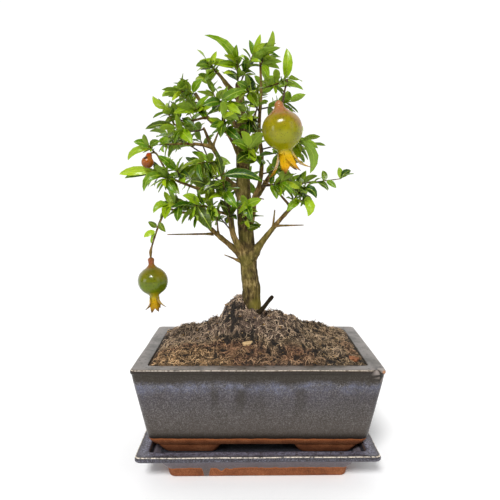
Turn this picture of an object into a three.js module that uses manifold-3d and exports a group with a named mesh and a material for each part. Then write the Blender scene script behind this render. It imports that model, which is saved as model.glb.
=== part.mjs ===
// A dwarf pomegranate bonsai with two fruits, in a glazed rectangular pot on its saucer.
// Millimetres, +Z up, +X to the right, -Y to the front. Everything is laid out from the point on
// the table under the middle of the pot. At the end the whole is moved, so that the origin lies
// on the table under the middle of the whole bonsai.
import * as THREE from 'three';
import Module from 'manifold-3d';
import { mergeVertices } from 'three/addons/utils/BufferGeometryUtils.js';

const wasm = await Module();
wasm.setup();

// ---- Driving dimensions -------------------------------------------------------------------

const GAP = 0.3; // between pieces that touch

const SAUCER = {
  halfLength: 122.5,
  halfDepth: 91,
  shiftX: -1, // it stands a little forward and to the left of the pot
  shiftY: -6,
  turn: THREE.MathUtils.degToRad(0.8),
  height: 29.7,
  lipHeight: 6.3,
  lipWidth: 12.5,
  floor: 17.7,
  underFloor: 8.5,
  footHeight: 9,
  footInsetX: 29.5,
  footInsetY: 17,
  footWidth: 9,
};

const POT = {
  halfLength: 127.5, // over the rim
  halfDepth: 88,
  rimTop: 115,
  rimWidth: 15,
  rimBand: 4, // upright edge of the rim
  taper: 13.7, // how far the wall leans in down to the glaze's lower edge
  glazeBottom: 38.5,
  bevel: 4.5, // bare clay turned in below the glaze
  bottom: 30.5,
  floor: 40,
  innerTaper: 8,
  footBottom: SAUCER.floor + GAP,
  footOuterX: 104,
  footInnerX: 37.5,
  footDepth: 34,
  footSlope: 7,
  footSetBack: 2.2, // of the feet from the clay's lower edge
  holeRadius: 9,
  holeX: 56,
};

const SOIL = {
  edge: 112.5, // where the soil meets the pot's wall
  dome: 12,
  // The heap round the trunk: a steep mound behind its left side, a lower one to its right and
  // a long low one along the back.
  mounds: [
    { height: 41, x: -22, y: 6, spreadX: 22, spreadY: 34 },
    { height: 26, x: 21, y: -2, spreadX: 32, spreadY: 34 },
    { height: 10, x: -5, y: 44, spreadX: 105, spreadY: 25 },
  ],
  moundPower: 2.6, // the higher, the flatter a mound's top and the steeper its foot
  clods: 2.2,
  crumbs: 1.2,
  middleX: -12, // the relief's rings shrink to here
  middleY: 4,
  grid: 20,
  ringScales: [0.985, 0.88, 0.7, 0.55, 0.43, 0.33, 0.24, 0.15, 0.07],
};

const MESH_PLATE = { half: 13, thick: 1, slots: 2, bar: 2 };

const LEAF_RIB = 0.8; // the blade's thickness at its midrib
const ROOT_DEPTH = 0.7; // how far a leaf's root lies behind its twig's axis
// Stations along a blade: [place, breadth over the width, thickness over the rib's].
const LEAF_OUTLINE = [[0.3, 0.92, 1], [0.68, 0.84, 1]];
const SEPAL_OUTLINE = [[0, 0.7, 1], [0.4, 1, 1], [0.75, 0.62, 0.9]];
const CROWN_AXIS = new THREE.Vector3(-20, 5, 300); // the crown grows outward from here

// ---- Colours ------------------------------------------------------------------------------

const COLOURS = {
  glaze: 0x4f4c52,
  bark: 0x6b5a35,
  soil: 0x6a5334,
  leaf: 0x5f9a10,
  fruit: 0x9a9a14,
  youngFruit: 0xd8742a,
  paleChip: 0xb9986c,
  redChip: 0x8a4a28,
  plastic: 0x20221f,
};

const material = (colour, roughness) => new THREE.MeshStandardMaterial({
  color: colour,
  roughness,
  metalness: 0,
});

// ---- Geometry helpers ---------------------------------------------------------------------

// A closed body over a list of rings, each counterclockwise about the way the list runs. A first
// or last ring of one point is an apex; any other end is closed by a fan round its middle.
function loft(rings) {
  const ends = [rings[0], rings[rings.length - 1]];
  const body = rings.filter((ring) => ring.length > 1);
  const count = body[0].length;
  const points = body.flat();
  const triangles = [];
  const first = points.push(middleOf(ends[0])) - 1;
  const last = points.push(middleOf(ends[1])) - 1;
  const lastRing = (body.length - 1) * count;
  for (let j = 0; j < count; j += 1) {
    const next = (j + 1) % count;
    triangles.push(first, next, j, last, lastRing + j, lastRing + next);
    for (let low = 0; low < lastRing; low += count) {
      const high = low + count;
      triangles.push(low + j, low + next, high + next, low + j, high + next, high + j);
    }
  }
  return indexed(points, triangles);
}

function middleOf(ring) {
  const sum = ring.reduce((total, point) => total.add(point), new THREE.Vector3());
  return sum.divideScalar(ring.length);
}

function indexed(points, triangles) {
  const geometry = new THREE.BufferGeometry().setFromPoints(points);
  geometry.setIndex(triangles);
  geometry.computeVertexNormals();
  return geometry;
}

function solidOf(geometry) {
  const bare = geometry.clone();
  bare.deleteAttribute('normal');
  bare.deleteAttribute('uv');
  const merged = mergeVertices(bare, 1e-4);
  return new wasm.Manifold(new wasm.Mesh({
    numProp: 3,
    vertProperties: new Float32Array(merged.attributes.position.array),
    triVerts: new Uint32Array(merged.index.array),
  }));
}

function geometryOf(solid) {
  const mesh = solid.getMesh();
  const geometry = new THREE.BufferGeometry();
  geometry.setAttribute('position', new THREE.BufferAttribute(mesh.vertProperties, 3));
  geometry.setIndex(new THREE.BufferAttribute(mesh.triVerts, 1));
  geometry.computeVertexNormals();
  return geometry;
}

const joined = (solids) => solids.reduce((whole, solid) => whole.add(solid));

// The largest separate body of a solid, without the scraps that a cut leaves.
function mainBody(solid) {
  const bodies = solid.decompose();
  return bodies.reduce((best, body) => (body.volume() > best.volume() ? body : best));
}

// A rectangle with rounded corners, level at height z.
function roundedRectangle(halfX, halfY, radius, z, cornerSteps, centreX = 0, centreY = 0) {
  const points = [];
  for (let corner = 0; corner < 4; corner += 1) {
    const signX = corner === 0 || corner === 3 ? 1 : -1;
    const signY = corner < 2 ? 1 : -1;
    for (let step = 0; step <= cornerSteps; step += 1) {
      const angle = (corner + step / cornerSteps) * Math.PI / 2;
      points.push(new THREE.Vector3(
        centreX + signX * (halfX - radius) + radius * Math.cos(angle),
        centreY + signY * (halfY - radius) + radius * Math.sin(angle),
        z,
      ));
    }
  }
  return points;
}

// A draw between 0 and 1 that depends only on its three numbers.
function draw(a, b, c) {
  const value = Math.sin(a * 12.9898 + b * 78.233 + c * 37.719) * 43758.5453;
  return value - Math.floor(value);
}

// ---- Saucer -------------------------------------------------------------------------------

function saucer() {
  const s = SAUCER;
  const ring = (insetX, insetY, radius, z) => (
    roundedRectangle(s.halfLength - insetX, s.halfDepth - insetY, radius, z, 2)
  );
  const footX = s.footInsetX;
  const footY = s.footInsetY;
  const lipBottom = s.height - s.lipHeight;
  const outside = loft([
    ring(footX + 2, footY + 2, 7, 0),
    ring(footX, footY, 8, s.footHeight),
    ring(17, 12, 8, lipBottom - 2),
    ring(1.5, 1.5, 5, lipBottom),
    ring(0, 0, 5, lipBottom + 1.5),
    ring(0, 0, 5, s.height - 1.2),
    ring(1.2, 1.2, 5, s.height),
  ]);
  const well = loft([
    ring(s.lipWidth + 6, s.lipWidth + 6, 4, s.floor),
    ring(s.lipWidth + 3, s.lipWidth + 3, 4, s.floor + 1),
    ring(s.lipWidth, s.lipWidth, 4, s.height),
    ring(s.lipWidth, s.lipWidth, 4, s.height + 5),
  ]);
  const underside = loft([
    ring(footX + s.footWidth, footY + s.footWidth, 5, -5),
    ring(footX + s.footWidth, footY + s.footWidth, 5, 0),
    ring(footX + s.footWidth + 3, footY + s.footWidth + 3, 4, s.underFloor),
  ]);
  return solidOf(outside).subtract(solidOf(well)).subtract(solidOf(underside));
}

// ---- Pot ----------------------------------------------------------------------------------

function potOutline(inset, radius, z) {
  return roundedRectangle(POT.halfLength - inset, POT.halfDepth - inset, radius, z, 2);
}

function pot() {
  const p = POT;
  const floorInset = p.rimWidth + p.innerTaper;
  const shell = loft([
    potOutline(p.taper + p.bevel, 8, p.bottom),
    potOutline(p.taper + 1.5, 8, p.bottom + 4),
    potOutline(p.taper, 7, p.glazeBottom),
    potOutline(1, 5, p.rimTop - p.rimBand - 1),
    potOutline(0, 5, p.rimTop - p.rimBand),
    potOutline(0, 5, p.rimTop - 1.2),
    potOutline(1.2, 5, p.rimTop),
    potOutline(p.rimWidth, 5, p.rimTop),
    potOutline(floorInset - 3, 8, p.floor + 5),
    potOutline(floorInset, 8, p.floor),
  ]);
  let body = solidOf(shell);
  const middleX = (p.footOuterX + p.footInnerX) / 2;
  const halfX = (p.footOuterX - p.footInnerX) / 2;
  const outerY = p.halfDepth - p.taper - p.bevel - p.footSetBack;
  const middleY = outerY - p.footDepth / 2;
  for (const sideX of [-1, 1]) {
    for (const sideY of [-1, 1]) {
      const ring = (inset, z) => roundedRectangle(
        halfX - inset, p.footDepth / 2 - inset, 5, z, 1, sideX * middleX, sideY * middleY,
      );
      body = body.add(solidOf(loft([
        ring(p.footSlope, p.footBottom),
        ring(0, p.bottom - 2),
        ring(0, p.bottom + 3),
      ])));
    }
    const hole = new THREE.CylinderGeometry(p.holeRadius, p.holeRadius, 20, 16);
    hole.rotateX(Math.PI / 2);
    hole.translate(sideX * p.holeX, 0, p.floor - 5);
    body = body.subtract(solidOf(hole));
  }
  return body;
}

// ---- Drain meshes -------------------------------------------------------------------------

// A square plate of plastic netting lies over each drain hole, under the soil.
function drainPlate(side) {
  const m = MESH_PLATE;
  const pitch = (2 * m.half - m.bar) / m.slots;
  let plate = plateBlank(side, 0);
  for (let i = 0; i < m.slots; i += 1) {
    for (let j = 0; j < m.slots; j += 1) {
      const slot = new THREE.BoxGeometry(pitch - m.bar, pitch - m.bar, 4 * m.thick);
      const x = side * POT.holeX + (i - (m.slots - 1) / 2) * pitch;
      slot.translate(x, (j - (m.slots - 1) / 2) * pitch, POT.floor);
      plate = plate.subtract(solidOf(slot));
    }
  }
  return plate;
}

function plateBlank(side, grow) {
  const m = MESH_PLATE;
  const size = 2 * (m.half + grow);
  const box = new THREE.BoxGeometry(size, size, m.thick + 2 * grow);
  box.translate(side * POT.holeX, 0, POT.floor + GAP + m.thick / 2);
  return solidOf(box);
}

// ---- Wood ---------------------------------------------------------------------------------

// Each limb is a list of points [x, y, z, radius] that its axis passes through.
const LIMBS = {
  trunk: [[-6, 0, 128, 9], [-6, 0, 140, 12], [-7, 0, 154, 11], [-7, 0, 168, 10.2],
    [-7, 0, 181, 9.6], [-9, 0, 195, 9.4], [-11, 0, 225, 8.7], [-14, 0, 261, 8.3],
    [-16, 2, 298, 7.6], [-17, 3, 336, 6.2], [-18, 3, 371, 5.4], [-20, 2, 407, 4]],
  right_branch: [[-7, -2, 218, 5], [1, -6, 229, 3.6], [14, -10, 246, 2.6], [27, -14, 262, 2],
    [36, -17, 272, 1.9], [40, -18, 276, 2.2]],
  right_thorn: [[19, -12, 253, 1.4], [50, -18, 254, 0.5]],
  right_spur: [[17, -11, 249, 1.3], [19, -14, 270, 0.7]],
  knob_twig: [[36, -17, 274, 1.3], [20, -24, 291, 1], [6, -28, 302, 0.7]],
  left_branch: [[-13, 0, 216, 4.5], [-21, -4, 223, 3.4], [-45, -12, 244, 2.4],
    [-68, -22, 265, 1.6], [-85, -28, 269, 1.2], [-96, -34, 272, 1.1], [-101, -39, 261, 1],
    [-106, -43, 247, 0.9], [-110, -45, 234, 0.9], [-111.3, -46, 228, 1.5],
    [-111.3, -46, 221, 0.9]],
  left_thorn: [[-48, -12, 244, 1.3], [-97, -22, 244, 0.5]],
  low_thorn: [[-15, -4, 211, 1.6], [-36, -14, 221, 0.5]],
  left_spur: [[-43, -11, 243, 1.2], [-44, -16, 263, 0.6]],
  left_costem: [[-12, -3, 212, 5], [-18, -9, 226, 3.6], [-26, -12, 242, 3.2],
    [-30, -14, 267, 2.9], [-35, -15, 287, 2.7], [-40, -16, 322, 2.4], [-49, -18, 339, 2.3]],
  cs_stub: [[-49, -18, 338, 2.2], [-52, -19, 345, 1.8], [-57, -22, 357, 1.2]],
  cs_twig: [[-48, -18, 338, 1.3], [-40, -24, 356, 0.7]],
  cs_left: [[-48, -18, 338, 2], [-63, -24, 340, 1.6], [-78, -30, 340, 1.2], [-93, -34, 339, 0.8]],
  bud_twig: [[-35, -15, 285, 1.9], [-56, -22, 291, 1.6], [-76, -30, 298, 1.3],
    [-90, -36, 305, 1.1], [-98, -38, 317, 0.9], [-106, -39, 330, 0.9],
    [-111.7, -42.5, 328.7, 0.8]],
  cs_side: [[-31, -14, 266, 1.7], [-44, -20, 269, 1.3], [-55, -26, 274, 0.9]],
  right_costem: [[-10, -6, 253, 3.4], [-5, -11, 268, 3], [-3, -12, 284, 2.6], [2, -10, 296, 2.4],
    [5, -4, 325, 2.1], [2, 0, 358, 1.9], [4, -2, 399, 1.5], [3, -4, 429, 1]],
  rc_thorn: [[-3, -12, 284, 1], [7, -16, 282, 0.5]],
  upper_left: [[-19, 2, 392, 3], [-31, -2, 403, 2.6], [-40, -6, 414, 1.8], [-50, -10, 424, 0.9]],
  pruned_left: [[-19, 2, 349, 3], [-39, -4, 359, 2.6], [-55, -10, 371, 2.1],
    [-58, -12, 380, 1.9], [-66, -14, 394, 1.6]],
  mid_branch: [[-15, 0, 319, 2.6], [-20, -8, 328, 2], [-27, -14, 343, 1.5], [-34, -18, 354, 1]],
  far_left_twig: [[-55, -10, 370, 1.4], [-72, -14, 365, 1.1], [-86, -18, 360, 0.9],
    [-97, -22, 377, 0.7]],
  back_right: [[-14, 2, 268, 4], [2, 14, 288, 3], [22, 34, 318, 2.4], [40, 50, 334, 1.7]],
  back_left: [[-15, 2, 284, 4], [-28, 16, 298, 3], [-40, 28, 310, 2.5], [-66, 46, 336, 1.7]],
  back_up: [[-18, 3, 332, 3.2], [-12, 24, 352, 2.4], [-2, 42, 380, 1.6]],
  back_up_left: [[-19, 3, 356, 2.6], [-32, 18, 376, 2], [-44, 28, 388, 1.4]],
  root_stub: [[-6, -3, 148, 2.6], [4, -11, 158, 2.5], [16.5, -14, 174, 2.1]],
};

// A limb's solid: round and tapering, with the trunk's section lobed like old wood. With grow it
// is the space that other pieces keep clear of.
function limb(route, grow = 0) {
  const thickest = Math.max(...route.map((point) => point[3]));
  const isTrunk = thickest > 6;
  let sides = 4;
  if (isTrunk) sides = 12;
  else if (thickest > 1.8) sides = 6;
  const lobes = isTrunk ? 0.07 : 0;
  const spans = route.length - 1;
  const steps = spans === 1 ? 1 : Math.max(spans, 4);
  const axis = new THREE.CatmullRomCurve3(
    route.map(([x, y, z]) => new THREE.Vector3(x, y, z)),
    false,
    'centripetal',
  );
  const across = new THREE.Vector3(0.9, 0.3, 0.1);
  const rings = [];
  for (let step = 0; step <= steps; step += 1) {
    const t = step / steps;
    const centre = axis.getPoint(t);
    const along = axis.getTangent(t);
    across.addScaledVector(along, -across.dot(along)).normalize();
    const upward = new THREE.Vector3().crossVectors(along, across);
    if (step === 0) centre.addScaledVector(along, -grow);
    if (step === steps) centre.addScaledVector(along, grow);
    const span = Math.min(Math.floor(t * spans), spans - 1);
    const radius = THREE.MathUtils.lerp(route[span][3], route[span + 1][3], t * spans - span);
    const ring = [];
    for (let side = 0; side < sides; side += 1) {
      const angle = (side / sides) * Math.PI * 2;
      const lobe = lobes * (Math.cos(3 * angle + 2.2 * t) + 0.5 * Math.cos(5 * angle));
      const reach = radius * (1 + lobe) + grow;
      ring.push(centre.clone()
        .addScaledVector(across, reach * Math.cos(angle))
        .addScaledVector(upward, reach * Math.sin(angle)));
    }
    rings.push(ring);
  }
  return solidOf(loft(rings));
}

// ---- Soil ---------------------------------------------------------------------------------

function soilHeight(x, y) {
  const s = SOIL;
  const edgeX = Math.min(1, Math.abs(x) / (POT.halfLength - POT.rimWidth));
  const edgeY = Math.min(1, Math.abs(y) / (POT.halfDepth - POT.rimWidth));
  const dome = s.dome * (1 - edgeX ** 4) * (1 - edgeY ** 4);
  const heap = s.mounds.reduce((sum, m) => {
    const away = Math.hypot((x - m.x) / m.spreadX, (y - m.y) / m.spreadY);
    return sum + m.height * Math.exp(-(away ** s.moundPower));
  }, 0);
  const clods = s.clods * Math.sin(x / 9 + 1.3 * Math.sin(y / 12)) * Math.sin(y / 10 + x / 23)
    + s.crumbs * Math.sin(x / 4.7 + y / 6.1) * Math.sin(y / 5.3 - x / 9);
  return s.edge + dome + heap + clods * (1 - Math.max(edgeX, edgeY) ** 6);
}

// Splits the long edges of an outline, always as many times as the same edges of the reference.
function splitLongEdges(ring, reference, spacing) {
  return ring.flatMap((point, index) => {
    const next = (index + 1) % ring.length;
    const pieces = Math.max(1, Math.round(reference[index].distanceTo(reference[next]) / spacing));
    return Array.from({ length: pieces }, (_, k) => point.clone().lerp(ring[next], k / pieces));
  });
}

// The soil fills the pot; its top is a relief over shrinking copies of the pot's inner outline.
function soil() {
  const p = POT;
  const s = SOIL;
  const floorInset = p.rimWidth + p.innerTaper + GAP;
  const slope = (p.innerTaper - 3) / (p.rimTop - 1 - (p.floor + 5));
  const topInset = p.rimWidth + GAP + slope * (p.rimTop - 1 - s.edge);
  const wall = [
    [floorInset, p.floor + GAP],
    [floorInset - 3 + GAP, p.floor + 5 + GAP],
    [topInset + slope, s.edge - 1],
  ].map(([inset, z]) => roundedRectangle(p.halfLength - inset, p.halfDepth - inset, 8, z, 2));
  const rings = wall.map((ring) => splitLongEdges(ring, wall[2], s.grid));
  for (const scale of s.ringScales) {
    rings.push(rings[2].map((point) => {
      const x = s.middleX + (point.x - s.middleX) * scale;
      const y = s.middleY + (point.y - s.middleY) * scale;
      return new THREE.Vector3(x, y, soilHeight(x, y));
    }));
  }
  return solidOf(loft(rings));
}

// ---- Crown --------------------------------------------------------------------------------

// Each spray: its name, the start, bend and end of its twig, how many leaves its rule gives it,
// their usual length, and its named leaves as [place along the twig, tip, width, arch].
const SPRAYS = [
  ['top_shoot', [[-20, 2, 405], [-12, -4, 421], [-4, -7, 438]], 6, 18, [
    [0.91, [-9, -5, 452], 6, 1],
    [0.96, [3, -12, 456], 6, 2],
    [0.99, [8, -14, 445], 6, 1],
    [0.82, [20, -10, 447], 8, 3],
    [0.7, [24, -19, 439], 9, 3],
  ]],
  ['top_left_shoot', [[-20, 2, 403], [-22, -4, 414], [-22, -10, 430]], 5, 22, [
    [0.8, [-56, -22, 452], 10, 8],
    [0.87, [-37, -14, 443], 7, 2],
    [0.93, [-22, -13, 445], 6, 1],
    [0.8, [-42, -24, 423], 6, 2],
    [0.74, [-62, -11, 429], 8, 3],
  ]],
  ['right_tip_shoot', [[3, -4, 424], [6, -6, 431], [10, -10, 438]], 6, 20, [
    [0.2, [26, -13, 427], 6, 2],
    [0.2, [24, -3, 422], 6, 2],
    [0.2, [12, -17, 408], 6, 2],
  ]],
  ['fruit_twig_shoot', [[4, -2, 402], [18, -14, 402], [31, -30, 406]], 5, 20, [
    [0.2, [36, -9, 403], 7, 2],
    [0.9, [30, -25, 438], 10, 3],
    [0.7, [49, -13, 398], 8, 2],
  ]],
  ['upper_left_shoot', [[-38, -5, 412], [-46, -10, 419], [-53, -16, 426]], 6, 15, [
    [0.2, [-33, -17, 422], 7, 1],
    [0.66, [-65, -20, 421], 8, 3],
  ]],
  ['pruned_left_shoot', [[-65, -14, 393], [-72, -18, 394], [-82, -22, 396]], 5, 20, [
    [0.77, [-79, -26, 406], 10, 1],
    [0.82, [-99, -31, 388], 7, 6],
    [0.24, [-57, -20, 408], 9, 2],
  ]],
  ['far_left_shoot', [[-76, -15, 364], [-86, -20, 366], [-96, -24, 378]], 5, 22, [
    [0.97, [-109, -30, 389], 8, 2],
    [0.39, [-89, -27, 382], 8, 2],
  ]],
  ['lime_shoot', [[-56, -11, 374], [-62, -16, 375], [-67, -22, 378]], 4, 18, [
    [0.66, [-74, -24, 386], 7, 2],
    [0.69, [-51, -26, 389], 7, 2],
    [0.52, [-45, -26, 381], 8, 2],
    [0.45, [-88, -30, 371], 9, 3],
  ]],
  ['left_isolated_shoot', [[-57, -22, 356], [-69, -24, 351], [-85, -32, 355]], 6, 22, [
    [1, [-116, -38, 354], 8, 5],
    [0.87, [-67, -42, 339], 11, 2],
  ]],
  ['bud_shoot', [[-107, -40, 331], [-109, -44, 334], [-111, -47, 337]], 3, 15, [
    [0.73, [-126, -49, 340], 8, 2],
    [0.47, [-134, -40, 322], 7, 7],
    [0.73, [-101, -41, 342], 7, 1],
  ]],
  ['far_left_tip_shoot', [[-93, -37, 309], [-100, -40, 307], [-107, -40, 311]], 4, 19, [
    [1, [-144, -38, 308], 9, 4],
    [0.8, [-140, -32, 304], 8, 3],
    [0.37, [-109, -31, 322], 7, 1],
  ]],
  ['hooked_shoot', [[-89, -35, 305], [-93, -42, 300], [-94, -46, 305]], 4, 20, [
    [0.98, [-116, -52, 290], 9, 9],
    [0.56, [-83, -48, 288], 9, 2],
  ]],
  ['left_twig_end_shoot', [[-91, -33, 339], [-97, -37, 339], [-101, -40, 338]], 3, 16, [
    [0.85, [-91, -45, 345], 7, 2],
  ]],
  ['left_middle_shoot', [[-76, -30, 298], [-81, -36, 306], [-84, -42, 314]], 5, 21, [
    [0.87, [-102, -46, 327], 9, 2],
    [0.65, [-70, -46, 304], 8, 2],
  ]],
  ['centre_left_shoot', [[-40, -16, 318], [-48, -28, 323], [-62, -40, 319]], 6, 22, [
    [0.36, [-28, -37, 319], 10, 3],
    [0.69, [-78, -39, 309], 9, 4],
    [0.53, [-42, -43, 306], 9, 2],
  ]],
  ['bright_shoot', [[-36, -15, 292], [-42, -26, 294], [-52, -38, 295]], 5, 22, [
    [0.94, [-70, -43, 301], 11, 3],
    [0.79, [-27, -47, 297], 9, 2],
    [0.68, [-54, -42, 279], 9, 2],
  ]],
  ['front_hero_shoot', [[-27, -12, 247], [-31, -34, 276], [-37, -48, 306]], 6, 22, [
    [1, [5, -52, 300], 11, 5],
    [0.76, [-21, -51, 274], 10, 3],
    [0.86, [-56, -50, 290], 9, 3],
  ]],
  ['big_dark_shoot', [[-42, -19, 269], [-55, -30, 277], [-66, -42, 275]], 6, 24, [
    [0.87, [-48, -47, 251], 13, 3],
    [0.45, [-41, -41, 264], 9, 2],
    [0.79, [-78, -43, 286], 9, 3],
  ]],
  ['hanging_shoot', [[-66, -21, 263], [-80, -28, 277], [-94, -36, 277]], 7, 22, [
    [0.87, [-95, -40, 262], 9, 3],
    [0.61, [-84, -40, 259], 9, 3],
    [1, [-108, -44, 268], 8, 4],
  ]],
  ['fruit_branchlet_shoot', [[-96, -34, 272], [-102, -40, 263], [-106, -44, 248]], 3, 15, [
    [0.84, [-114, -47, 259], 6, 1],
    [0.98, [-118, -50, 243], 6, 2],
    [0.61, [-94, -47, 249], 6, 1],
  ]],
  ['loop_shoot', [[-12, 0, 241], [-13, -24, 260], [-12, -38, 275]], 5, 18, [
    [1, [-20, -46, 267], 9, 10],
    [0.94, [-6, -48, 259], 10, 6],
    [1, [4, -42, 282], 9, 3],
  ]],
  ['centre_high_shoot', [[-18, 3, 367], [-29, -20, 374], [-39, -38, 383]], 6, 22, [
    [0.95, [-12, -44, 393], 10, 3],
    [0.85, [-17, -46, 368], 9, 2],
    [0.92, [-56, -43, 377], 9, 3],
  ]],
  ['broad_pair_shoot', [[3, -1, 376], [-6, -14, 385], [-11, -26, 398]], 5, 22, [
    [0.85, [0, -34, 377], 11, 2],
    [0.66, [-13, -22, 413], 11, 3],
    [0.99, [-22, -34, 402], 8, 2],
  ]],
  ['centre_mid_shoot', [[-30, -16, 349], [-33, -30, 356], [-36, -44, 365]], 6, 20, [
    [0.69, [-49, -43, 356], 8, 2],
    [0.5, [-16, -42, 341], 9, 3],
    [0.93, [-19, -52, 361], 9, 3],
  ]],
  ['narrow_pair_shoot', [[3, -1, 348], [-6, -20, 359], [-11, -34, 372]], 5, 22, [
    [0.92, [0, -42, 352], 7, 2],
    [0.79, [-9, -40, 347], 7, 2],
    [1, [-26, -40, 377], 8, 2],
  ]],
  ['broad_centre_shoot', [[5, -5, 319], [-4, -24, 326], [-10, -42, 335]], 6, 24, [
    [0.89, [5, -46, 349], 12, 3],
    [0.64, [-22, -43, 320], 10, 3],
    [0.83, [-27, -44, 340], 10, 3],
  ]],
  ['right_hang_shoot', [[4, -3, 336], [26, -16, 341], [46, -26, 343]], 6, 22, [
    [0.99, [55, -30, 309], 10, 9],
    [0.87, [65, -19, 336], 8, 3],
    [0.67, [44, -31, 325], 9, 3],
  ]],
  ['right_long_shoot', [[2, -10, 296], [47, -8, 298], [90, -14, 304]], 6, 14, [
    [0.99, [87, -18, 316], 6, 2],
    [1, [102, -10, 313], 7, 2],
    [0.82, [85, -18, 294], 6, 1],
    [0.71, [76, -19, 291], 6, 2],
    [0.78, [71, -8, 313], 7, 2],
    [0.54, [65, -18, 307], 6, 2],
  ]],
  ['right_low_shoot', [[36, -17, 274], [41, -22, 288], [51, -28, 295]], 5, 20, [
    [0.86, [62, -32, 283], 8, 6],
    [0.74, [31, -33, 299], 8, 3],
  ]],
  ['knob_droop_shoot', [[40, -18, 276], [46, -22, 281], [49, -28, 281]], 3, 17, [
    [1, [53, -34, 264], 10, 6],
    [0.59, [31, -31, 269], 8, 3],
  ]],
  ['dark_right_shoot', [[11, -26, 298], [17, -30, 296], [27, -36, 301]], 6, 20, [
    [0.2, [20, -36, 282], 8, 2],
    [0.92, [33, -39, 312], 9, 2],
    [0.81, [37, -42, 289], 8, 3],
  ]],
  ['behind_calyx_shoot', [[3, -7, 309], [16, 2, 312], [30, 6, 316]], 6, 22, [
    [0.67, [22, -1, 331], 11, 2],
  ]],
  ['back_right_high', [[22, 34, 318], [26, 48, 348], [32, 54, 370]], 7, 21, []],
  ['back_right_mid', [[40, 50, 334], [46, 58, 342], [48, 62, 354]], 7, 20, []],
  ['back_right_low', [[11, 23, 302], [34, 44, 298], [58, 54, 300]], 7, 24, []],
  ['back_left_low', [[-40, 28, 310], [-62, 50, 304], [-86, 54, 306]], 7, 24, []],
  ['back_left_mid', [[-66, 46, 336], [-86, 52, 350], [-104, 44, 356]], 7, 24, []],
  ['back_left_high', [[-56, 39, 326], [-70, 52, 358], [-80, 50, 384]], 7, 24, []],
  ['back_top', [[-2, 42, 380], [4, 54, 400], [9, 49, 421]], 7, 22, []],
  ['back_top_left', [[-44, 28, 388], [-52, 40, 404], [-56, 40, 424]], 7, 22, []],
  ['back_centre', [[-12, 24, 352], [-14, 48, 362], [-22, 68, 378]], 7, 24, []],
  ['back_deep_low', [[-32, 20, 302], [-18, 48, 296], [-10, 72, 306]], 7, 24, []],
  ['side_left_up', [[-61, -13, 384], [-74, 0, 388], [-85, 8, 396]], 7, 19, []],
  ['side_left_mid', [[-74, -28, 340], [-84, -4, 346], [-100, 8, 352]], 7, 22, []],
  ['side_right_up', [[3, -1, 380], [20, 10, 384], [36, 16, 392]], 7, 19, []],
  ['side_right_mid', [[5, -3, 330], [30, 14, 334], [54, 18, 342]], 7, 22, []],
  ['inner_left', [[-37, -15, 301], [-52, 2, 306], [-66, 10, 318]], 7, 22, []],
  ['inner_low_left', [[-26, -12, 244], [-42, 10, 262], [-58, 22, 276]], 7, 22, []],
];

// A spray's twig runs on a quadratic curve; it is thickest where it leaves the wood.
const TWIG_BASE = 1.2;
const TWIG_END = 0.95;
const TWIG_SIDES = 3;

const vector = ([x, y, z]) => new THREE.Vector3(x, y, z);

function twigCurve(route) {
  return new THREE.QuadraticBezierCurve3(...route.map(vector));
}

function twig(route, grow = 0) {
  const curve = twigCurve(route);
  const across = new THREE.Vector3(0.3, 0.9, 0.2);
  const steps = 3;
  const rings = [];
  for (let step = 0; step <= steps; step += 1) {
    const t = step / steps;
    const centre = curve.getPoint(t);
    const along = curve.getTangent(t);
    across.addScaledVector(along, -across.dot(along)).normalize();
    const upward = new THREE.Vector3().crossVectors(along, across);
    const radius = THREE.MathUtils.lerp(TWIG_BASE, TWIG_END, t) + grow;
    rings.push(Array.from({ length: TWIG_SIDES }, (_, side) => {
      const angle = (side / TWIG_SIDES) * Math.PI * 2;
      return centre.clone()
        .addScaledVector(across, radius * Math.cos(angle))
        .addScaledVector(upward, radius * Math.sin(angle));
    }));
  }
  return solidOf(loft(rings));
}

// A blade bowed along its length: flat across the top, with a keel under its midrib. It runs
// from the root, or from its first station if that has place 0, to a pointed tip.
function blade({ base, tip, up, width, arch, rib = LEAF_RIB, outline = LEAF_OUTLINE }, grow = 0) {
  const along = tip.clone().sub(base).normalize();
  const across = new THREE.Vector3().crossVectors(along, up).normalize();
  const rise = new THREE.Vector3().crossVectors(across, along).normalize();
  const middle = base.clone().add(tip).multiplyScalar(0.5).addScaledVector(rise, 2 * arch);
  const curve = new THREE.QuadraticBezierCurve3(base, middle, tip);
  const rings = outline.map(([t, breadth, depth]) => {
    const centre = curve.getPoint(t);
    const normal = new THREE.Vector3().crossVectors(across, curve.getTangent(t)).normalize();
    const half = breadth * width / 2 + grow;
    const top = centre.clone().addScaledVector(normal, grow);
    return [
      top.clone().addScaledVector(across, -half),
      top.clone().addScaledVector(across, half),
      centre.clone().addScaledVector(normal, -depth * rib - grow),
    ];
  });
  if (outline[0][0] > 0) {
    rings.unshift([base.clone().addScaledVector(curve.getTangent(0), -ROOT_DEPTH)]);
  }
  rings.push([tip.clone().addScaledVector(along, 2 * grow)]);
  return solidOf(loft(rings));
}

// The rule for leaves. Two by two they stand opposite each other, each pair turned on from the
// last, and the last leaf ends the twig. Ranges are [least, spread]; lengths and breadths are
// parts of the spray's usual length and of the leaf's own.
const RULE = {
  firstPlace: 0.22,
  placeSpan: 0.74,
  pairTurn: 1.9,
  turnSpread: 1.2,
  open: [0.75, 0.55], // radians away from the twig
  openAtEnd: 0.25,
  sagSpread: 0.25,
  reach: [0.62, 0.62],
  breadth: [0.33, 0.1],
  arch: [0.03, 0.11],
  outward: 0.55, // how much a blade's face looks out of the crown, up, and by chance
  skyward: 0.75,
  chance: 1.1,
};

// The poses that one leaf may take: a named leaf keeps its tip and leans forward or back, any
// other leaf turns round the twig and shortens. The first that is clear of its neighbours is used.
const POSES = 10;
const POSE_LEAN = 4;
const POSE_TURN = 0.9;
const POSE_SHORTER = 0.06;

const ranged = ([least, spread], value) => least + spread * value;

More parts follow.
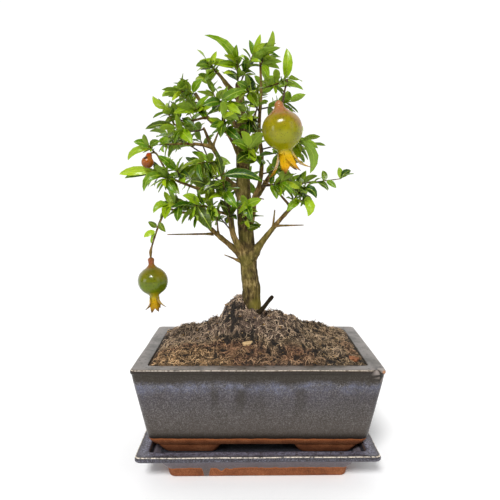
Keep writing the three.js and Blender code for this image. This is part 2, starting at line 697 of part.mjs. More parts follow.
function leafPose(spray, seed, index, pose) {
  const [, route, count, length, named] = spray;
  const curve = twigCurve(route);
  const leaf = {};
  const jitter = new THREE.Vector3(
    draw(seed, index, 1) - 0.5,
    draw(seed, index, 2) - 0.5,
    draw(seed, index, 3) - 0.5,
  );
  if (index < named.length) {
    const [place, tip, width, arch] = named[index];
    leaf.base = curve.getPoint(place);
    leaf.tip = vector(tip);
    leaf.tip.y += (pose % 2 === 0 ? POSE_LEAN : -POSE_LEAN) * Math.ceil(pose / 2);
    leaf.width = width;
    leaf.arch = arch;
  } else {
    const order = index - named.length;
    const last = order === count - 1;
    const share = (order + draw(seed, index, 4)) / count;
    const place = last ? 1 : RULE.firstPlace + RULE.placeSpan * share;
    leaf.base = curve.getPoint(place);
    const along = curve.getTangent(place);
    const level = new THREE.Vector3(along.y, -along.x, 0.001).normalize();
    const upright = new THREE.Vector3().crossVectors(level, along);
    const around = (order % 2) * Math.PI + RULE.pairTurn * Math.floor(order / 2)
      + RULE.turnSpread * draw(seed, index, 5) + POSE_TURN * pose;
    const open = last ? RULE.openAtEnd : ranged(RULE.open, draw(seed, index, 6));
    const direction = along.multiplyScalar(Math.cos(open))
      .addScaledVector(level, Math.sin(open) * Math.cos(around))
      .addScaledVector(upright, Math.sin(open) * Math.sin(around));
    direction.z -= RULE.sagSpread * draw(seed, index, 7);
    const reach = length * ranged(RULE.reach, draw(seed, index, 8)) * (1 - POSE_SHORTER * pose);
    leaf.tip = leaf.base.clone().addScaledVector(direction.normalize(), reach);
    leaf.width = reach * ranged(RULE.breadth, draw(seed, index, 9));
    leaf.arch = reach * ranged(RULE.arch, draw(seed, index, 10));
  }
  leaf.up = leaf.base.clone().sub(CROWN_AXIS).setZ(0).normalize().multiplyScalar(RULE.outward)
    .add(new THREE.Vector3(0, 0, RULE.skyward))
    .addScaledVector(jitter, RULE.chance);
  return leaf;
}

// ---- Fruits -------------------------------------------------------------------------------

// A fruit hangs by its neck, with its crown of sepals below. Heights and radii of the profile
// are parts of the fruit's own radius, from the cup inside the crown up to the neck.
const FRUITS = {
  pomegranate_right: {
    centre: [24.7, -46, 352.5],
    radius: 20.2,
    lean: [0, THREE.MathUtils.degToRad(-8)],
    stalk: [[25, -45, 380, 1.3], [27, -40, 391, 1], [30.5, -30.5, 404.5, 1]],
    colour: COLOURS.fruit,
    sides: 14,
    profile: [
      [0.2, -1.2], [0.41, -1.36], [0.4, -1.03], [0.5, -0.91], [0.76, -0.68], [0.94, -0.36],
      [1, 0], [0.95, 0.35], [0.78, 0.65], [0.5, 0.87], [0.28, 1.03], [0.24, 1.3], [0.12, 1.46],
    ],
    sepals: [
      [-2, 27, -42, 7, -4], [-48, 20, -44, 10, -2], [-122, 13, -44, 9, 0],
      [168, 24, -48, 8, -3], [100, 17, -43, 9, -2], [45, 19, -42, 9, -3],
    ],
    sepalRoot: [0.38, -1.2],
  },
  pomegranate_left: {
    centre: [-109.6, -46, 197.5],
    radius: 15.6,
    lean: [0, THREE.MathUtils.degToRad(-4)],
    stalk: [],
    colour: COLOURS.fruit,
    sides: 12,
    profile: [
      [0.2, -1.5], [0.42, -1.72], [0.5, -1.5], [0.31, -1.02], [0.44, -0.89], [0.76, -0.64],
      [0.96, -0.28], [0.99, 0.12], [0.85, 0.5], [0.6, 0.76], [0.34, 0.93], [0.2, 1.12],
      [0.21, 1.48], [0.1, 1.58],
    ],
    sepals: [
      [5, 12.5, -29, 6, -2], [-60, 7, -32, 7, 0], [-110, 5.5, -33, 7, 0],
      [176, 11, -32, 6, -2], [110, 7, -31, 7, 0], [55, 7, -31, 7, 0],
    ],
    sepalRoot: [0.43, -1.55],
  },
  young_fruit: {
    centre: [-112.5, -47, 320],
    radius: 6.3,
    lean: [-0.5, 0.12],
    stalk: [],
    colour: COLOURS.youngFruit,
    sides: 9,
    profile: [
      [0.3, -0.95], [0.75, -0.65], [0.98, -0.22], [0.97, 0.25], [0.68, 0.72], [0.53, 1.1],
      [0.44, 1.5], [0.22, 1.68],
    ],
    sepals: [],
    sepalRoot: [0, 0],
  },
};

function fruit({ centre, radius, lean, stalk, sides, profile, sepals, sepalRoot }) {
  const place = new THREE.Matrix4().makeRotationFromEuler(new THREE.Euler(lean[0], lean[1], 0));
  place.setPosition(...centre);
  const rings = profile.map(([breadth, height]) => (
    Array.from({ length: sides }, (_, side) => {
      const angle = (side / sides) * Math.PI * 2;
      return new THREE.Vector3(
        breadth * radius * Math.cos(angle),
        breadth * radius * Math.sin(angle),
        height * radius,
      ).applyMatrix4(place);
    })
  ));
  let body = solidOf(loft(rings));
  for (const [degrees, reach, drop, width, arch] of sepals) {
    const angle = THREE.MathUtils.degToRad(degrees);
    const outward = new THREE.Vector3(Math.cos(angle), Math.sin(angle), 0);
    const root = outward.clone().multiplyScalar(sepalRoot[0] * radius).setZ(sepalRoot[1] * radius);
    const tip = outward.clone().multiplyScalar(reach).setZ(drop);
    const up = outward.clone().add(new THREE.Vector3(0, 0, 0.3)).transformDirection(place);
    body = body.add(blade({
      base: root.applyMatrix4(place),
      tip: tip.applyMatrix4(place),
      up,
      width,
      arch,
      rib: 1.8,
      outline: SEPAL_OUTLINE,
    }));
  }
  return stalk.length > 0 ? body.add(limb(stalk)) : body;
}

// ---- Bark chips ---------------------------------------------------------------------------

// Two flakes of bark lie bedded in the soil's surface, turned and tilted by so many radians.
const CHIP_RISE = 0.2; // of a flake's middle over the soil's level

const CHIPS = {
  bark_chip_pale: {
    centre: [-10, -38],
    turn: 0.5,
    tilt: 0.35,
    size: [13, 7, 2],
    colour: COLOURS.paleChip,
  },
  bark_chip_red: {
    centre: [98, -56],
    turn: -0.5,
    tilt: 0.2,
    size: [15, 8, 2.5],
    colour: COLOURS.redChip,
  },
};

function chip({ centre: [x, y], turn, tilt, size: [length, width, thick] }, grow = 0) {
  const box = new THREE.BoxGeometry(length + 2 * grow, width + 2 * grow, thick + 2 * grow);
  box.rotateX(tilt);
  box.rotateZ(turn);
  box.translate(x, y, soilHeight(x, y) + CHIP_RISE);
  return solidOf(box);
}

// ---- Assembly -----------------------------------------------------------------------------

const bonsai = new THREE.Group();
bonsai.name = 'pomegranate_bonsai';

function place(name, geometry, colour, roughness) {
  const mesh = new THREE.Mesh(geometry, material(colour, roughness));
  mesh.name = name;
  bonsai.add(mesh);
  return mesh;
}

const saucerMesh = place('saucer', geometryOf(saucer()), COLOURS.glaze, 0.35);
saucerMesh.position.set(SAUCER.shiftX, SAUCER.shiftY, 0);
saucerMesh.rotation.z = SAUCER.turn;
place('pot', geometryOf(pot()), COLOURS.glaze, 0.35);
for (const [name, side] of [['drain_mesh_left', -1], ['drain_mesh_right', 1]]) {
  place(name, geometryOf(drainPlate(side)), COLOURS.plastic, 0.5);
}

const limbs = Object.values(LIMBS);
const wood = joined(limbs.map((route) => limb(route)));
const woodSpace = joined(limbs.map((route) => limb(route, 1.3 * GAP)));
place('tree_wood', geometryOf(wood), COLOURS.bark, 0.85);

let earth = soil().subtract(woodSpace);
for (const side of [-1, 1]) {
  earth = earth.subtract(plateBlank(side, GAP));
}
for (const [name, flake] of Object.entries(CHIPS)) {
  earth = earth.subtract(chip(flake, GAP));
  place(name, geometryOf(chip(flake)), flake.colour, 0.9);
}
place('soil', geometryOf(mainBody(earth)), COLOURS.soil, 1);

// Whatever a leaf has to stay clear of, with the spray that each piece belongs to.
const obstacles = [];

function addObstacle(solid, owner) {
  obstacles.push({ solid, owner, box: solid.boundingBox() });
}

function isClear(space, isObstacle) {
  const box = space.boundingBox();
  return obstacles.every((other) => {
    if (!isObstacle(other)) return true;
    for (let axis = 0; axis < 3; axis += 1) {
      if (box.min[axis] > other.box.max[axis] || box.max[axis] < other.box.min[axis]) return true;
    }
    return space.intersect(other.solid).isEmpty();
  });
}

limbs.forEach((route) => addObstacle(limb(route), 'wood'));

const twigSpaces = SPRAYS.map(([, route]) => twig(route, GAP * 1.4));
for (const [name, recipe] of Object.entries(FRUITS)) {
  let body = fruit(recipe);
  [woodSpace, ...twigSpaces].forEach((space) => {
    body = body.subtract(space);
  });
  body = mainBody(body);
  addObstacle(body, name);
  place(name, geometryOf(body), recipe.colour, 0.3);
}

const twigs = SPRAYS.map((spray) => {
  const [name, route] = spray;
  const stem = mainBody(twig(route).subtract(woodSpace));
  addObstacle(stem, name);
  return stem;
});

// Named leaves are placed first over the whole crown, then the others fill in between them.
const leaves = SPRAYS.map(() => []);

function placeLeaf(number, index) {
  const spray = SPRAYS[number];
  for (let pose = 0; pose < POSES; pose += 1) {
    const leaf = leafPose(spray, number + 1, index, pose);
    const outer = blade({ ...leaf, base: leaf.base.clone().lerp(leaf.tip, 0.18) });
    const isOther = (other) => other.owner !== spray[0];
    const isSister = (other) => other.owner === spray[0] && other.solid !== twigs[number];
    if (isClear(blade(leaf, GAP), isOther) && isClear(outer, isSister)) {
      const solid = blade(leaf);
      leaves[number].push(solid);
      addObstacle(solid, spray[0]);
      return;
    }
  }
}

SPRAYS.forEach((spray, number) => {
  spray[4].forEach((leaf, index) => placeLeaf(number, index));
});
SPRAYS.forEach((spray, number) => {
  for (let order = 0; order < spray[2]; order += 1) {
    placeLeaf(number, spray[4].length + order);
  }
});
SPRAYS.forEach(([name], number) => {
  const whole = mainBody(joined([twigs[number], ...leaves[number]]));
  place(name, geometryOf(whole), COLOURS.leaf, 0.45);
});

const extent = new THREE.Box3().setFromObject(bonsai, true);
const middle = extent.getCenter(new THREE.Vector3()).setZ(0);
bonsai.children.forEach((mesh) => mesh.position.sub(middle));

export default bonsai;
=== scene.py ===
import math

import bpy
import numpy as np
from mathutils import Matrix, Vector


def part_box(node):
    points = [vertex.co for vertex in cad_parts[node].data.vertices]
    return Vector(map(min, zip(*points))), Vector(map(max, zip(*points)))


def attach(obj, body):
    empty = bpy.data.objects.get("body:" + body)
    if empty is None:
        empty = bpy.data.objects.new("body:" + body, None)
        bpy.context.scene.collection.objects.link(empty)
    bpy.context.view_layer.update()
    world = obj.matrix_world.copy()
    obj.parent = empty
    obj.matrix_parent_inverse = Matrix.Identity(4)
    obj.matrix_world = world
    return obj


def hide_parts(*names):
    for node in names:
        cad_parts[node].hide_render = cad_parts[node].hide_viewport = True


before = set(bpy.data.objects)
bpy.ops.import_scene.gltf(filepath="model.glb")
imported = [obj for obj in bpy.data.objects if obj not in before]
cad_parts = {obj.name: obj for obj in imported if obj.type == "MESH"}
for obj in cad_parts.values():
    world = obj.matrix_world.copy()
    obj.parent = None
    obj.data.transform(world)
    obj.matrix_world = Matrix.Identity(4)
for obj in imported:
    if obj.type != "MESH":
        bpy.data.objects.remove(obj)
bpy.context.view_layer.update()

# Sizes below are in millimetres from the point on the table under the middle of the pot, with
# +Z up and -Y to the front. This is that point in the frame.
pot_low, pot_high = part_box("pot")
CENTRE = np.array([(pot_low.x + pot_high.x) * 500, (pot_low.y + pot_high.y) * 500, 0])


# ---- Saucer -------------------------------------------------------------------------------
# A pressed stoneware drip tray: flat flange, sunk floor and a low foot ring. One dip of
# blue-grey glaze, which broke thin at the sharp edges, is dark on the sunk floor and ran in
# tongues over the foot ring; below them the clay is bare. The cream line along the sharp
# edges is partly that thin glaze and partly a painted highlight.

SAUCER_HALF = (122.5, 91)
SAUCER_SHIFT = (-1, -6)
SAUCER_TURN = math.radians(0.8)
# From the underside over the foot ring and the lip to the floor inside: how far each line is
# set in from the ends and from the sides, its corners' radius and its height.
SAUCER_PROFILE = [
    (41.5, 29, 4, 8.5), (38.5, 26, 5, 0), (31.5, 19, 7, 0), (29.5, 17, 8, 9), (17, 12, 8, 21.4),
    (1.5, 1.5, 5, 23.4), (0, 0, 5, 24.9), (0, 0, 5, 28.5), (1.2, 1.2, 5, 29.7),
    (12.5, 12.5, 4, 29.7), (15.5, 15.5, 4, 18.7), (18.5, 18.5, 4, 17.7),
]
SAUCER_TOP = 29.7
# Points along the long sides and along the ends of both ceramics.
CERAMIC_STEPS = (110, 60)
# Tongues of glaze over the front of the foot ring: x, half width, length as a part of 15 mm.
TONGUES = [(-52.5, 3.2, 1), (-37, 4, 0.16), (-28, 3, 0.12)]


def softened(profile, reach, steps=4):
    """Rounds a profile's corners: each inner point becomes a quadratic curve that leaves its two
    edges at most `reach` away from it, and never further than 0.45 of the edge."""
    p = np.array(profile, float)
    back, ahead = p[:-2] - p[1:-1], p[2:] - p[1:-1]

    def near(side):
        """The points where the curves start or end, that far along one of their edges."""
        long = np.linalg.norm(side, axis=1, keepdims=True)
        return p[1:-1] + side * np.minimum(reach / long, 0.45)

    t = np.linspace(0, 1, steps)[None, :, None]
    curve = (1 - t) ** 2 * near(back)[:, None] + 2 * t * (1 - t) * p[1:-1, None]
    curve = curve + t**2 * near(ahead)[:, None]
    return np.vstack([p[:1], curve.reshape(-1, p.shape[1]), p[-1:]])


def rounded_rectangles(half_x, half_y, radius, height, side_steps=(40, 30), corner_steps=8):
    """Level outlines, one for each value in the four lists: four quarter circles of that radius
    with straight sides between them, counterclockwise from the right end."""
    half_x, half_y, radius, height = (np.asarray(v, float)[:, None] for v in
                                      (half_x, half_y, radius, height))
    parts = []
    for corner in range(4):
        sign_x, sign_y = (1, -1, -1, 1)[corner], (1, 1, -1, -1)[corner]
        angle = (corner + np.linspace(0, 1, corner_steps + 1)) * np.pi / 2
        x = sign_x * (half_x - radius) + radius * np.cos(angle)
        y = sign_y * (half_y - radius) + radius * np.sin(angle)
        parts.append(np.stack([x, y], -1))
    closed = []
    for corner in range(4):
        start, end = parts[corner][:, -1:], parts[(corner + 1) % 4][:, :1]
        t = np.linspace(0, 1, side_steps[corner % 2] + 1)[1:-1][None, :, None]
        closed += [parts[corner], start + (end - start) * t]
    outline = np.concatenate(closed, 1)
    level = np.broadcast_to(height[:, :, None], outline.shape[:2] + (1,))
    return np.concatenate([outline, level], -1)


def lofted(rings):
    """Points and faces of a closed skin over rings (n, k, 3), each counterclockwise about the
    way the list runs: quads between rings, and a fan round the middle of each end."""
    count, steps = rings.shape[:2]
    points = np.vstack([rings.reshape(-1, 3), rings[0].mean(0), rings[-1].mean(0)])
    j = np.arange(steps)
    k = (j + 1) % steps
    low = (np.arange(count - 1) * steps)[:, None]
    quads = np.stack([low + j, low + k, low + steps + k, low + steps + j], -1).reshape(-1, 4)
    end = (count - 1) * steps
    first, last = np.full(steps, count * steps), np.full(steps, count * steps + 1)
    fans = np.vstack([np.stack([first, k, j], -1), np.stack([last, end + j, end + k], -1)])
    return points, [quads, fans]


def new_piece(name, points, faces, materials, values=None, face_values=None, indices=None,
              sharp=40):
    """A mesh object with its points in mm about CENTRE, its faces as a list of index arrays,
    and named values at its points or faces that materials can read."""
    mesh = bpy.data.meshes.new(name)
    points = np.asarray(points, float).reshape(-1, 3)
    loops = np.concatenate([f.ravel() for f in faces]).astype(np.int32)
    sizes = np.concatenate([np.full(len(f), f.shape[1]) for f in faces])
    mesh.vertices.add(len(points))
    mesh.vertices.foreach_set("co", ((points + CENTRE) * 0.001).ravel())
    mesh.loops.add(len(loops))
    mesh.loops.foreach_set("vertex_index", loops)
    mesh.polygons.add(len(sizes))
    mesh.polygons.foreach_set("loop_start", (np.cumsum(sizes) - sizes).astype(np.int32))
    if indices is not None:
        mesh.polygons.foreach_set("material_index", np.asarray(indices, np.int32))
    mesh.polygons.foreach_set("use_smooth", np.ones(len(sizes), bool))
    mesh.update(calc_edges=True)
    for domain, named in (("POINT", values or {}), ("FACE", face_values or {})):
        for key, numbers in named.items():
            attribute = mesh.attributes.new(key, "FLOAT", domain)
            attribute.data.foreach_set("value", np.asarray(numbers, np.float32).ravel())
    mesh.set_sharp_from_angle(angle=math.radians(sharp))
    for material in materials:
        mesh.materials.append(material)
    piece = bpy.data.objects.new(name, mesh)
    bpy.context.scene.collection.objects.link(piece)
    return piece


def noise3(points, size, seed=0.0):
    """Smooth noise from -1 to 1: the corners of cells of that size, a number or three, have
    fixed random values, blended across each cell by 3t^2 - 2t^3 along every axis."""
    p = np.asarray(points, float) / size
    cell = np.floor(p)
    t = p - cell
    t = t * t * (3 - 2 * t)
    total = 0
    for corner in range(8):
        side = np.array([corner & 1, corner >> 1 & 1, corner >> 2 & 1])
        value = np.sin((cell + side) @ [12.9898, 78.233, 37.719] + seed * 17.13) * 43758.5453
        weight = np.prod(np.where(side == 1, t, 1 - t), axis=-1)
        total = total + (value - np.floor(value)) * weight
    return 2 * total - 1


def linear(colour):
    """An sRGB hex colour as linear RGBA."""
    c = np.array([int(colour[i:i + 2], 16) for i in (1, 3, 5)]) / 255
    c = np.where(c <= 0.04045, c / 12.92, ((c + 0.055) / 1.055) ** 2.4)
    return (*c, 1.0)


def add_node(tree, kind, inputs=None, stops=None, **settings):
    """Adds a node, applies its settings, links or sets its inputs, and gives a colour ramp its
    stops as (place, hex colour)."""
    node = tree.nodes.new("ShaderNode" + kind)
    for key, value in settings.items():
        setattr(node, key, value)
    for key, value in (inputs or {}).items():
        if isinstance(value, bpy.types.NodeSocket):
            tree.links.new(value, node.inputs[key])
        else:
            node.inputs[key].default_value = value
    if stops:
        ramp = node.color_ramp
        ramp.elements.remove(ramp.elements[1])
        ramp.elements[0].position, ramp.elements[0].color = stops[0][0], linear(stops[0][1])
        for place, colour in stops[1:]:
            ramp.elements.new(place).color = linear(colour)
    return node


def new_material(name, **surface):
    """A material with one Principled shader whose given inputs are set; returns the material,
    its tree, the shader and the Object coordinates' socket."""
    material = bpy.data.materials.new(name)
    material.use_nodes = True
    tree = material.node_tree
    shader = tree.nodes["Principled BSDF"]
    for key, value in surface.items():
        shader.inputs[key.replace("_", " ")].default_value = value
    place = add_node(tree, "TexCoord").outputs["Object"]
    return material, tree, shader, place


def glaze_material(name, lengths, stops, layers, bare_from, sway, tongue, cream_and_highlight_width):
    """A reduction-fired glaze over stoneware. Its colours follow `down`, the way in mm from the
    outer edge along the profile, so they break where the dip ran thin. Object coordinates are
    metres, so a scale is 1/metre. Borders sway by a fifth of `sway` mm, and the glaze's lower one
    drops by `tongue` mm in runs; the last argument is the width in mm of the cream line at the
    edge, which is partly glaze broken thin and partly a painted highlight. Named values place the
    larger marks: `streak` the runs and tongues, `worn` the chipped corner, each 0 to 1."""
    material, tree, shader, place = new_material(name, Roughness=0.34, IOR=1.5,
                                                 Specular_IOR_Level=0.3)
    down, corner, streak, worn = (
        add_node(tree, "Attribute", attribute_name=pattern).outputs["Fac"]
        for pattern in ("down", "corner", "streak", "worn"))
    wander = add_node(tree, "TexNoise", {"Vector": place, "Scale": 45, "Detail": 8,
                                         "Roughness": 0.7}).outputs["Fac"]
    shifted = add_node(tree, "Math", {0: wander, 1: sway, 2: -sway / 2}, operation="MULTIPLY_ADD")
    held = add_node(tree, "MapRange", {"Value": down, 1: 1.5, 2: 9, 3: 0, 4: 1})
    calm = add_node(tree, "MapRange", {"Value": down, 1: 50, 2: 72, 3: 1, 4: 0.25})
    held = add_node(tree, "Math", {0: held.outputs[0], 1: calm.outputs[0]}, operation="MULTIPLY")
    shift = add_node(tree, "Math", {0: shifted.outputs[0], 1: held.outputs[0], 2: down},
                     operation="MULTIPLY_ADD")
    low, high = lengths
    share = add_node(tree, "MapRange", {"Value": shift.outputs[0], 1: low, 2: high})
    stops = [((where - low) / (high - low), tone) for where, tone in stops]
    colour = add_node(tree, "ValToRGB", {0: share.outputs[0]}, stops).outputs[0]
    # Stains and patches: ragged clouds of 15-25 mm; crystals: specks drawn at 1 mm so that they
    # show, where real ones are thought to be about 0.5 mm; mottle: blotches of 3 mm; runs: noise
    # of 20 mm, drawn out ten times along Z.
    thin = add_node(tree, "Mapping", {"Vector": place, "Scale": (1, 1, 0.1)})
    looks = {
        "stain": ({"Vector": place, "Scale": 38, "Detail": 7, "Roughness": 0.7}, 0.47, 0.6),
        "patch": ({"Vector": place, "Scale": 60, "Detail": 12, "Roughness": 0.95}, 0.44, 0.66),
        "crystal": ({"Vector": place, "Scale": 800, "Detail": 3, "Roughness": 0.8}, 0.48, 0.62),
        "mottle": ({"Vector": place, "Scale": 330, "Detail": 4, "Roughness": 0.7}, 0.5, 0.6),
        "run": ({"Vector": thin.outputs[0], "Scale": 50, "Detail": 3}, 0.52, 0.64),
    }
    for pattern, (noise, least, most) in looks.items():
        tone, places = layers[pattern]
        noise = add_node(tree, "TexNoise", noise).outputs["Fac"]
        some = add_node(tree, "MapRange", {"Value": noise, 1: least, 2: most}).outputs[0]
        if pattern == "run":
            some = add_node(tree, "Math", {0: some, 1: 0.4, 2: streak},
                            operation="MULTIPLY_ADD").outputs[0]
        places = [((where - low) / (high - low), grey) for where, grey in places]
        zone = add_node(tree, "ValToRGB", {0: share.outputs[0]}, places).outputs[0]
        some = add_node(tree, "Math", {0: some, 1: zone}, operation="MULTIPLY").outputs[0]
        colour = add_node(tree, "Mix", {0: some, 6: colour, 7: linear(tone)},
                          data_type="RGBA").outputs[2]
    patchy = add_node(tree, "TexNoise", {"Vector": place, "Scale": 420, "Detail": 3})
    # Pits and iron spots on the level faces, where the glaze boiled: dark brown, 2 mm wide and
    # about 6 mm apart.
    pits = add_node(tree, "TexVoronoi", {"Vector": place, "Scale": 170, "Randomness": 1})
    pit = add_node(tree, "MapRange", {"Value": pits.outputs["Distance"], 1: 0.23, 2: 0.16, 4: 0.85})
    level = add_node(tree, "MapRange", {"Value": down, 1: 4, 2: 1, 3: 0.1, 4: 1})
    pit = add_node(tree, "Math", {0: pit.outputs[0], 1: level.outputs[0]}, operation="MULTIPLY")
    # The sharp edge: a broken cream line, partly where the glaze drew back and partly a painted
    # highlight along the edge.
    edge = add_node(tree, "MapRange", {"Value": down, 1: cream_and_highlight_width, 2: cream_and_highlight_width * 0.3})
    inner = add_node(tree, "MapRange", {"Value": down, 1: -cream_and_highlight_width * 1.6, 2: -cream_and_highlight_width * 0.7})
    broken = add_node(tree, "MapRange", {"Value": patchy.outputs[0], 1: 0.36, 2: 0.56, 4: 0.9})
    line = add_node(tree, "Math", {0: edge.outputs[0], 1: inner.outputs[0]}, operation="MULTIPLY")
    line = add_node(tree, "Math", {0: line.outputs[0], 1: broken.outputs[0]}, operation="MULTIPLY")
    # Down the upright corners the glaze is thin and the clay shows through it, brown.
    upright = add_node(tree, "MapRange", {"Value": corner, 1: 0.75, 2: 1, 4: 0.75})
    below = add_node(tree, "MapRange", {"Value": down, 1: 1.5, 2: 3})
    upright = add_node(tree, "Math", {0: upright.outputs[0], 1: below.outputs[0]},
                       operation="MULTIPLY")
    # The cream line mixed in here is partly a painted highlight on the edge.
    for marks, tone in ((pit, "#2a241c"), (line, "#e6d9c6"), (upright, "#6b5330")):
        colour = add_node(tree, "Mix", {0: marks.outputs[0], 6: colour, 7: linear(tone)},
                          data_type="RGBA").outputs[2]
    # A worn place: pale glaze with dark cracks 9 mm apart, round a chip of bare tan clay.
    cells = add_node(tree, "TexVoronoi", {"Vector": place, "Scale": 110},
                     feature="DISTANCE_TO_EDGE")
    cracked = add_node(tree, "ValToRGB", {0: cells.outputs["Distance"]},
                       [(0.04, "#1c1712"), (0.12, "#7d736c"), (0.4, "#9a918b")])
    chipped = add_node(tree, "MapRange", {"Value": worn, 1: 0.8, 2: 0.92})
    cracked = add_node(tree, "Mix", {0: chipped.outputs[0], 6: cracked.outputs[0],
                                     7: linear("#b9835c")}, data_type="RGBA")
    affected = add_node(tree, "MapRange", {"Value": worn, 1: 0.15, 2: 0.5, 4: 0.85})
    colour = add_node(tree, "Mix", {0: affected.outputs[0], 6: colour,
                                    7: cracked.outputs[2]}, data_type="RGBA")
    # Bare clay, sandy and matt, below an uneven border with a few tongues of glaze.
    thin = add_node(tree, "Mapping", {"Vector": place, "Scale": (1, 1, 0.05)})
    drip = add_node(tree, "TexNoise", {"Vector": thin.outputs[0], "Scale": 95, "Detail": 1})
    drip = add_node(tree, "MapRange", {"Value": drip.outputs[0], 1: 0.6, 2: 0.68, 4: -tongue})
    border = add_node(tree, "Math", {0: shift.outputs[0], 1: drip.outputs[0]}, operation="ADD")
    border = add_node(tree, "Math", {0: streak, 1: -15, 2: border.outputs[0]},
                      operation="MULTIPLY_ADD")
    bare = add_node(tree, "MapRange", {"Value": border.outputs[0], 1: bare_from, 2: bare_from + 0.7})
    grain = add_node(tree, "TexNoise", {"Vector": place, "Scale": 900, "Detail": 3})
    broad = add_node(tree, "TexNoise", {"Vector": place, "Scale": 60, "Detail": 3})
    both = add_node(tree, "Math", {0: grain.outputs[0], 1: broad.outputs[0]}, operation="ADD")
    clay = add_node(tree, "ValToRGB", {0: add_node(tree, "MapRange", {
        "Value": both.outputs[0], 1: 0.6, 2: 1.4}).outputs[0]}, [
            (0, "#522c18"), (0.4, "#784426"), (0.7, "#8e5635"), (1, "#a87650")])
    # Painted light: the bare clay just below the glaze's border is drawn a lighter orange, as the
    # lit top of the band above the shade lower down.
    lit_clay_edge = add_node(tree, "MapRange", {"Value": border.outputs[0], 1: bare_from + 1,
                                        2: bare_from + 2.2, 3: 0.55, 4: 0})
    clay = add_node(tree, "Mix", {0: lit_clay_edge.outputs[0], 6: clay.outputs[0], 7: linear("#bb6a34")},
                    data_type="RGBA")
    colour = add_node(tree, "Mix", {0: bare.outputs[0], 6: colour.outputs[2],
                                    7: clay.outputs[2]}, data_type="RGBA")
    tree.links.new(colour.outputs[2], shader.inputs["Base Color"])
    rough = add_node(tree, "MapRange", {"Value": bare.outputs[0], 3: 0.34, 4: 0.9})
    tree.links.new(rough.outputs[0], shader.inputs["Roughness"])
    relief = add_node(tree, "MapRange", {"Value": bare.outputs[0], 3: 0.00012, 4: 0.0004})
    bump = add_node(tree, "Bump", {"Height": grain.outputs[0], "Strength": 0.7,
                                   "Distance": relief.outputs[0]})
    tree.links.new(bump.outputs[0], shader.inputs["Normal"])
    return material


def with_ends(values):
    """Values of rings (n, k) as one list, with those of the two end fans' middles added."""
    return np.concatenate([values.ravel(), values[0, :1], values[-1, :1]])


def ceramic_values(profile, edge_at, rings):
    """For each ring point: `down`, the way along the profile from its outer top edge, less
    than 0 inwards, and `corner`, 1 on the upright edges and 0 from 5 mm beside them."""
    run = np.concatenate([[0], np.cumsum(np.linalg.norm(np.diff(profile, axis=0), axis=1))])
    nearest = np.argmin(np.linalg.norm(profile - edge_at, axis=1))
    down = np.repeat((run[nearest] - run)[:, None], rings.shape[1], 1)
    centre = np.abs(rings - rings.mean(1, keepdims=True))
    reach = centre.max(1, keepdims=True)
    away = (reach - centre)[..., 0] + (reach - centre)[..., 1]
    corner = np.clip(1 - (away - 1.5) / 5, 0, 1)
    return {"down": with_ends(down), "corner": with_ends(corner)}


soft = softened(SAUCER_PROFILE, 1.6)
rings = rounded_rectangles(SAUCER_HALF[0] - soft[:, 0], SAUCER_HALF[1] - soft[:, 1],
                           soft[:, 2], soft[:, 3], CERAMIC_STEPS)
saucer_values = ceramic_values(soft[:, [0, 3]], (0, SAUCER_TOP), rings)
x, y, z = np.moveaxis(rings, -1, 0)
tongue = sum(long * np.exp(-(((x - at) / wide) ** 4)) for at, wide, long in TONGUES)
saucer_values["streak"] = with_ends(tongue * (z < 22) * (y < -60))
# Pressed and dried by hand: its lines waver by a few tenths of a millimetre.
waver = 0.3 * np.stack([noise3(rings, 38, seed) for seed in (1, 2, 3)], -1)
rings[..., :2] += waver[..., :2] * (rings[..., 2:] > 5)
rings[..., 2] += waver[..., 2] * np.clip(rings[..., 2] / 20, 0, 1) ** 2 - 0.2 * (rings[..., 2] > 25)
cos, sin = math.cos(SAUCER_TURN), math.sin(SAUCER_TURN)
rings[..., :2] = rings[..., :2] @ np.array([[cos, sin], [-sin, cos]]) + SAUCER_SHIFT
saucer_glaze = glaze_material(
    "saucer_blue_grey_glaze", (-45, 60),
    [(-30, "#17171d"), (-24, "#1b1918"), (-15, "#1d1917"), (-12.8, "#6b5138"), (-11.8, "#38343a"),
     (-9, "#504a50"), (-5, "#57525b"), (-2.5, "#4d474b"), (-1, "#383230"), (0.3, "#332b25"),
     (1.6, "#211b19"), (2.8, "#322d2d"), (6, "#393439"), (7.2, "#2b2726"), (8.5, "#6b6570"),
     (30, "#6d6468"), (41, "#5b504a")],
    {"run": ("#2f2b2b", [(-45, "#000000"), (-14, "#404040"), (4, "#808080"), (60, "#606060")]),
     "stain": ("#2c2626", [(-45, "#101010"), (-12, "#909090"), (-7, "#c8c8c8"), (-2, "#e8e8e8"),
                           (8, "#b0b0b0"), (30, "#404040")]),
     "patch": ("#7c80a0", [(-45, "#101010"), (-13, "#404040"), (-9, "#d0d0d0"), (-2, "#404040"),
                           (3, "#707070"), (9, "#202020")]),
     "crystal": ("#b6b8cc", [(-45, "#909090"), (-13, "#808080"), (-9, "#d0d0d0"), (-1, "#606060"),
                             (3, "#909090"), (9, "#606060")]),
     "mottle": ("#1f1b20", [(-45, "#404040"), (-13, "#909090"), (-9, "#d8d8d8"), (-2, "#d8d8d8"),
                            (3, "#b0b0b0"), (8, "#a0a0a0"), (10, "#303030")])},
    37.5, 7, 2, 0.6)
saucer = new_piece("saucer_glazed", *lofted(rings), [saucer_glaze], saucer_values)
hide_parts("saucer")
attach(saucer, "root")


# ---- Pot ----------------------------------------------------------------------------------
# A slab-built stoneware bonsai pot: broad flat rim, walls that lean in, a bare clay band and
# four corner feet of the same clay. The glaze is dark olive under the rim, blue-speckled where
# it begins to run, and lavender-grey below.

POT_HALF = (127.5, 88)
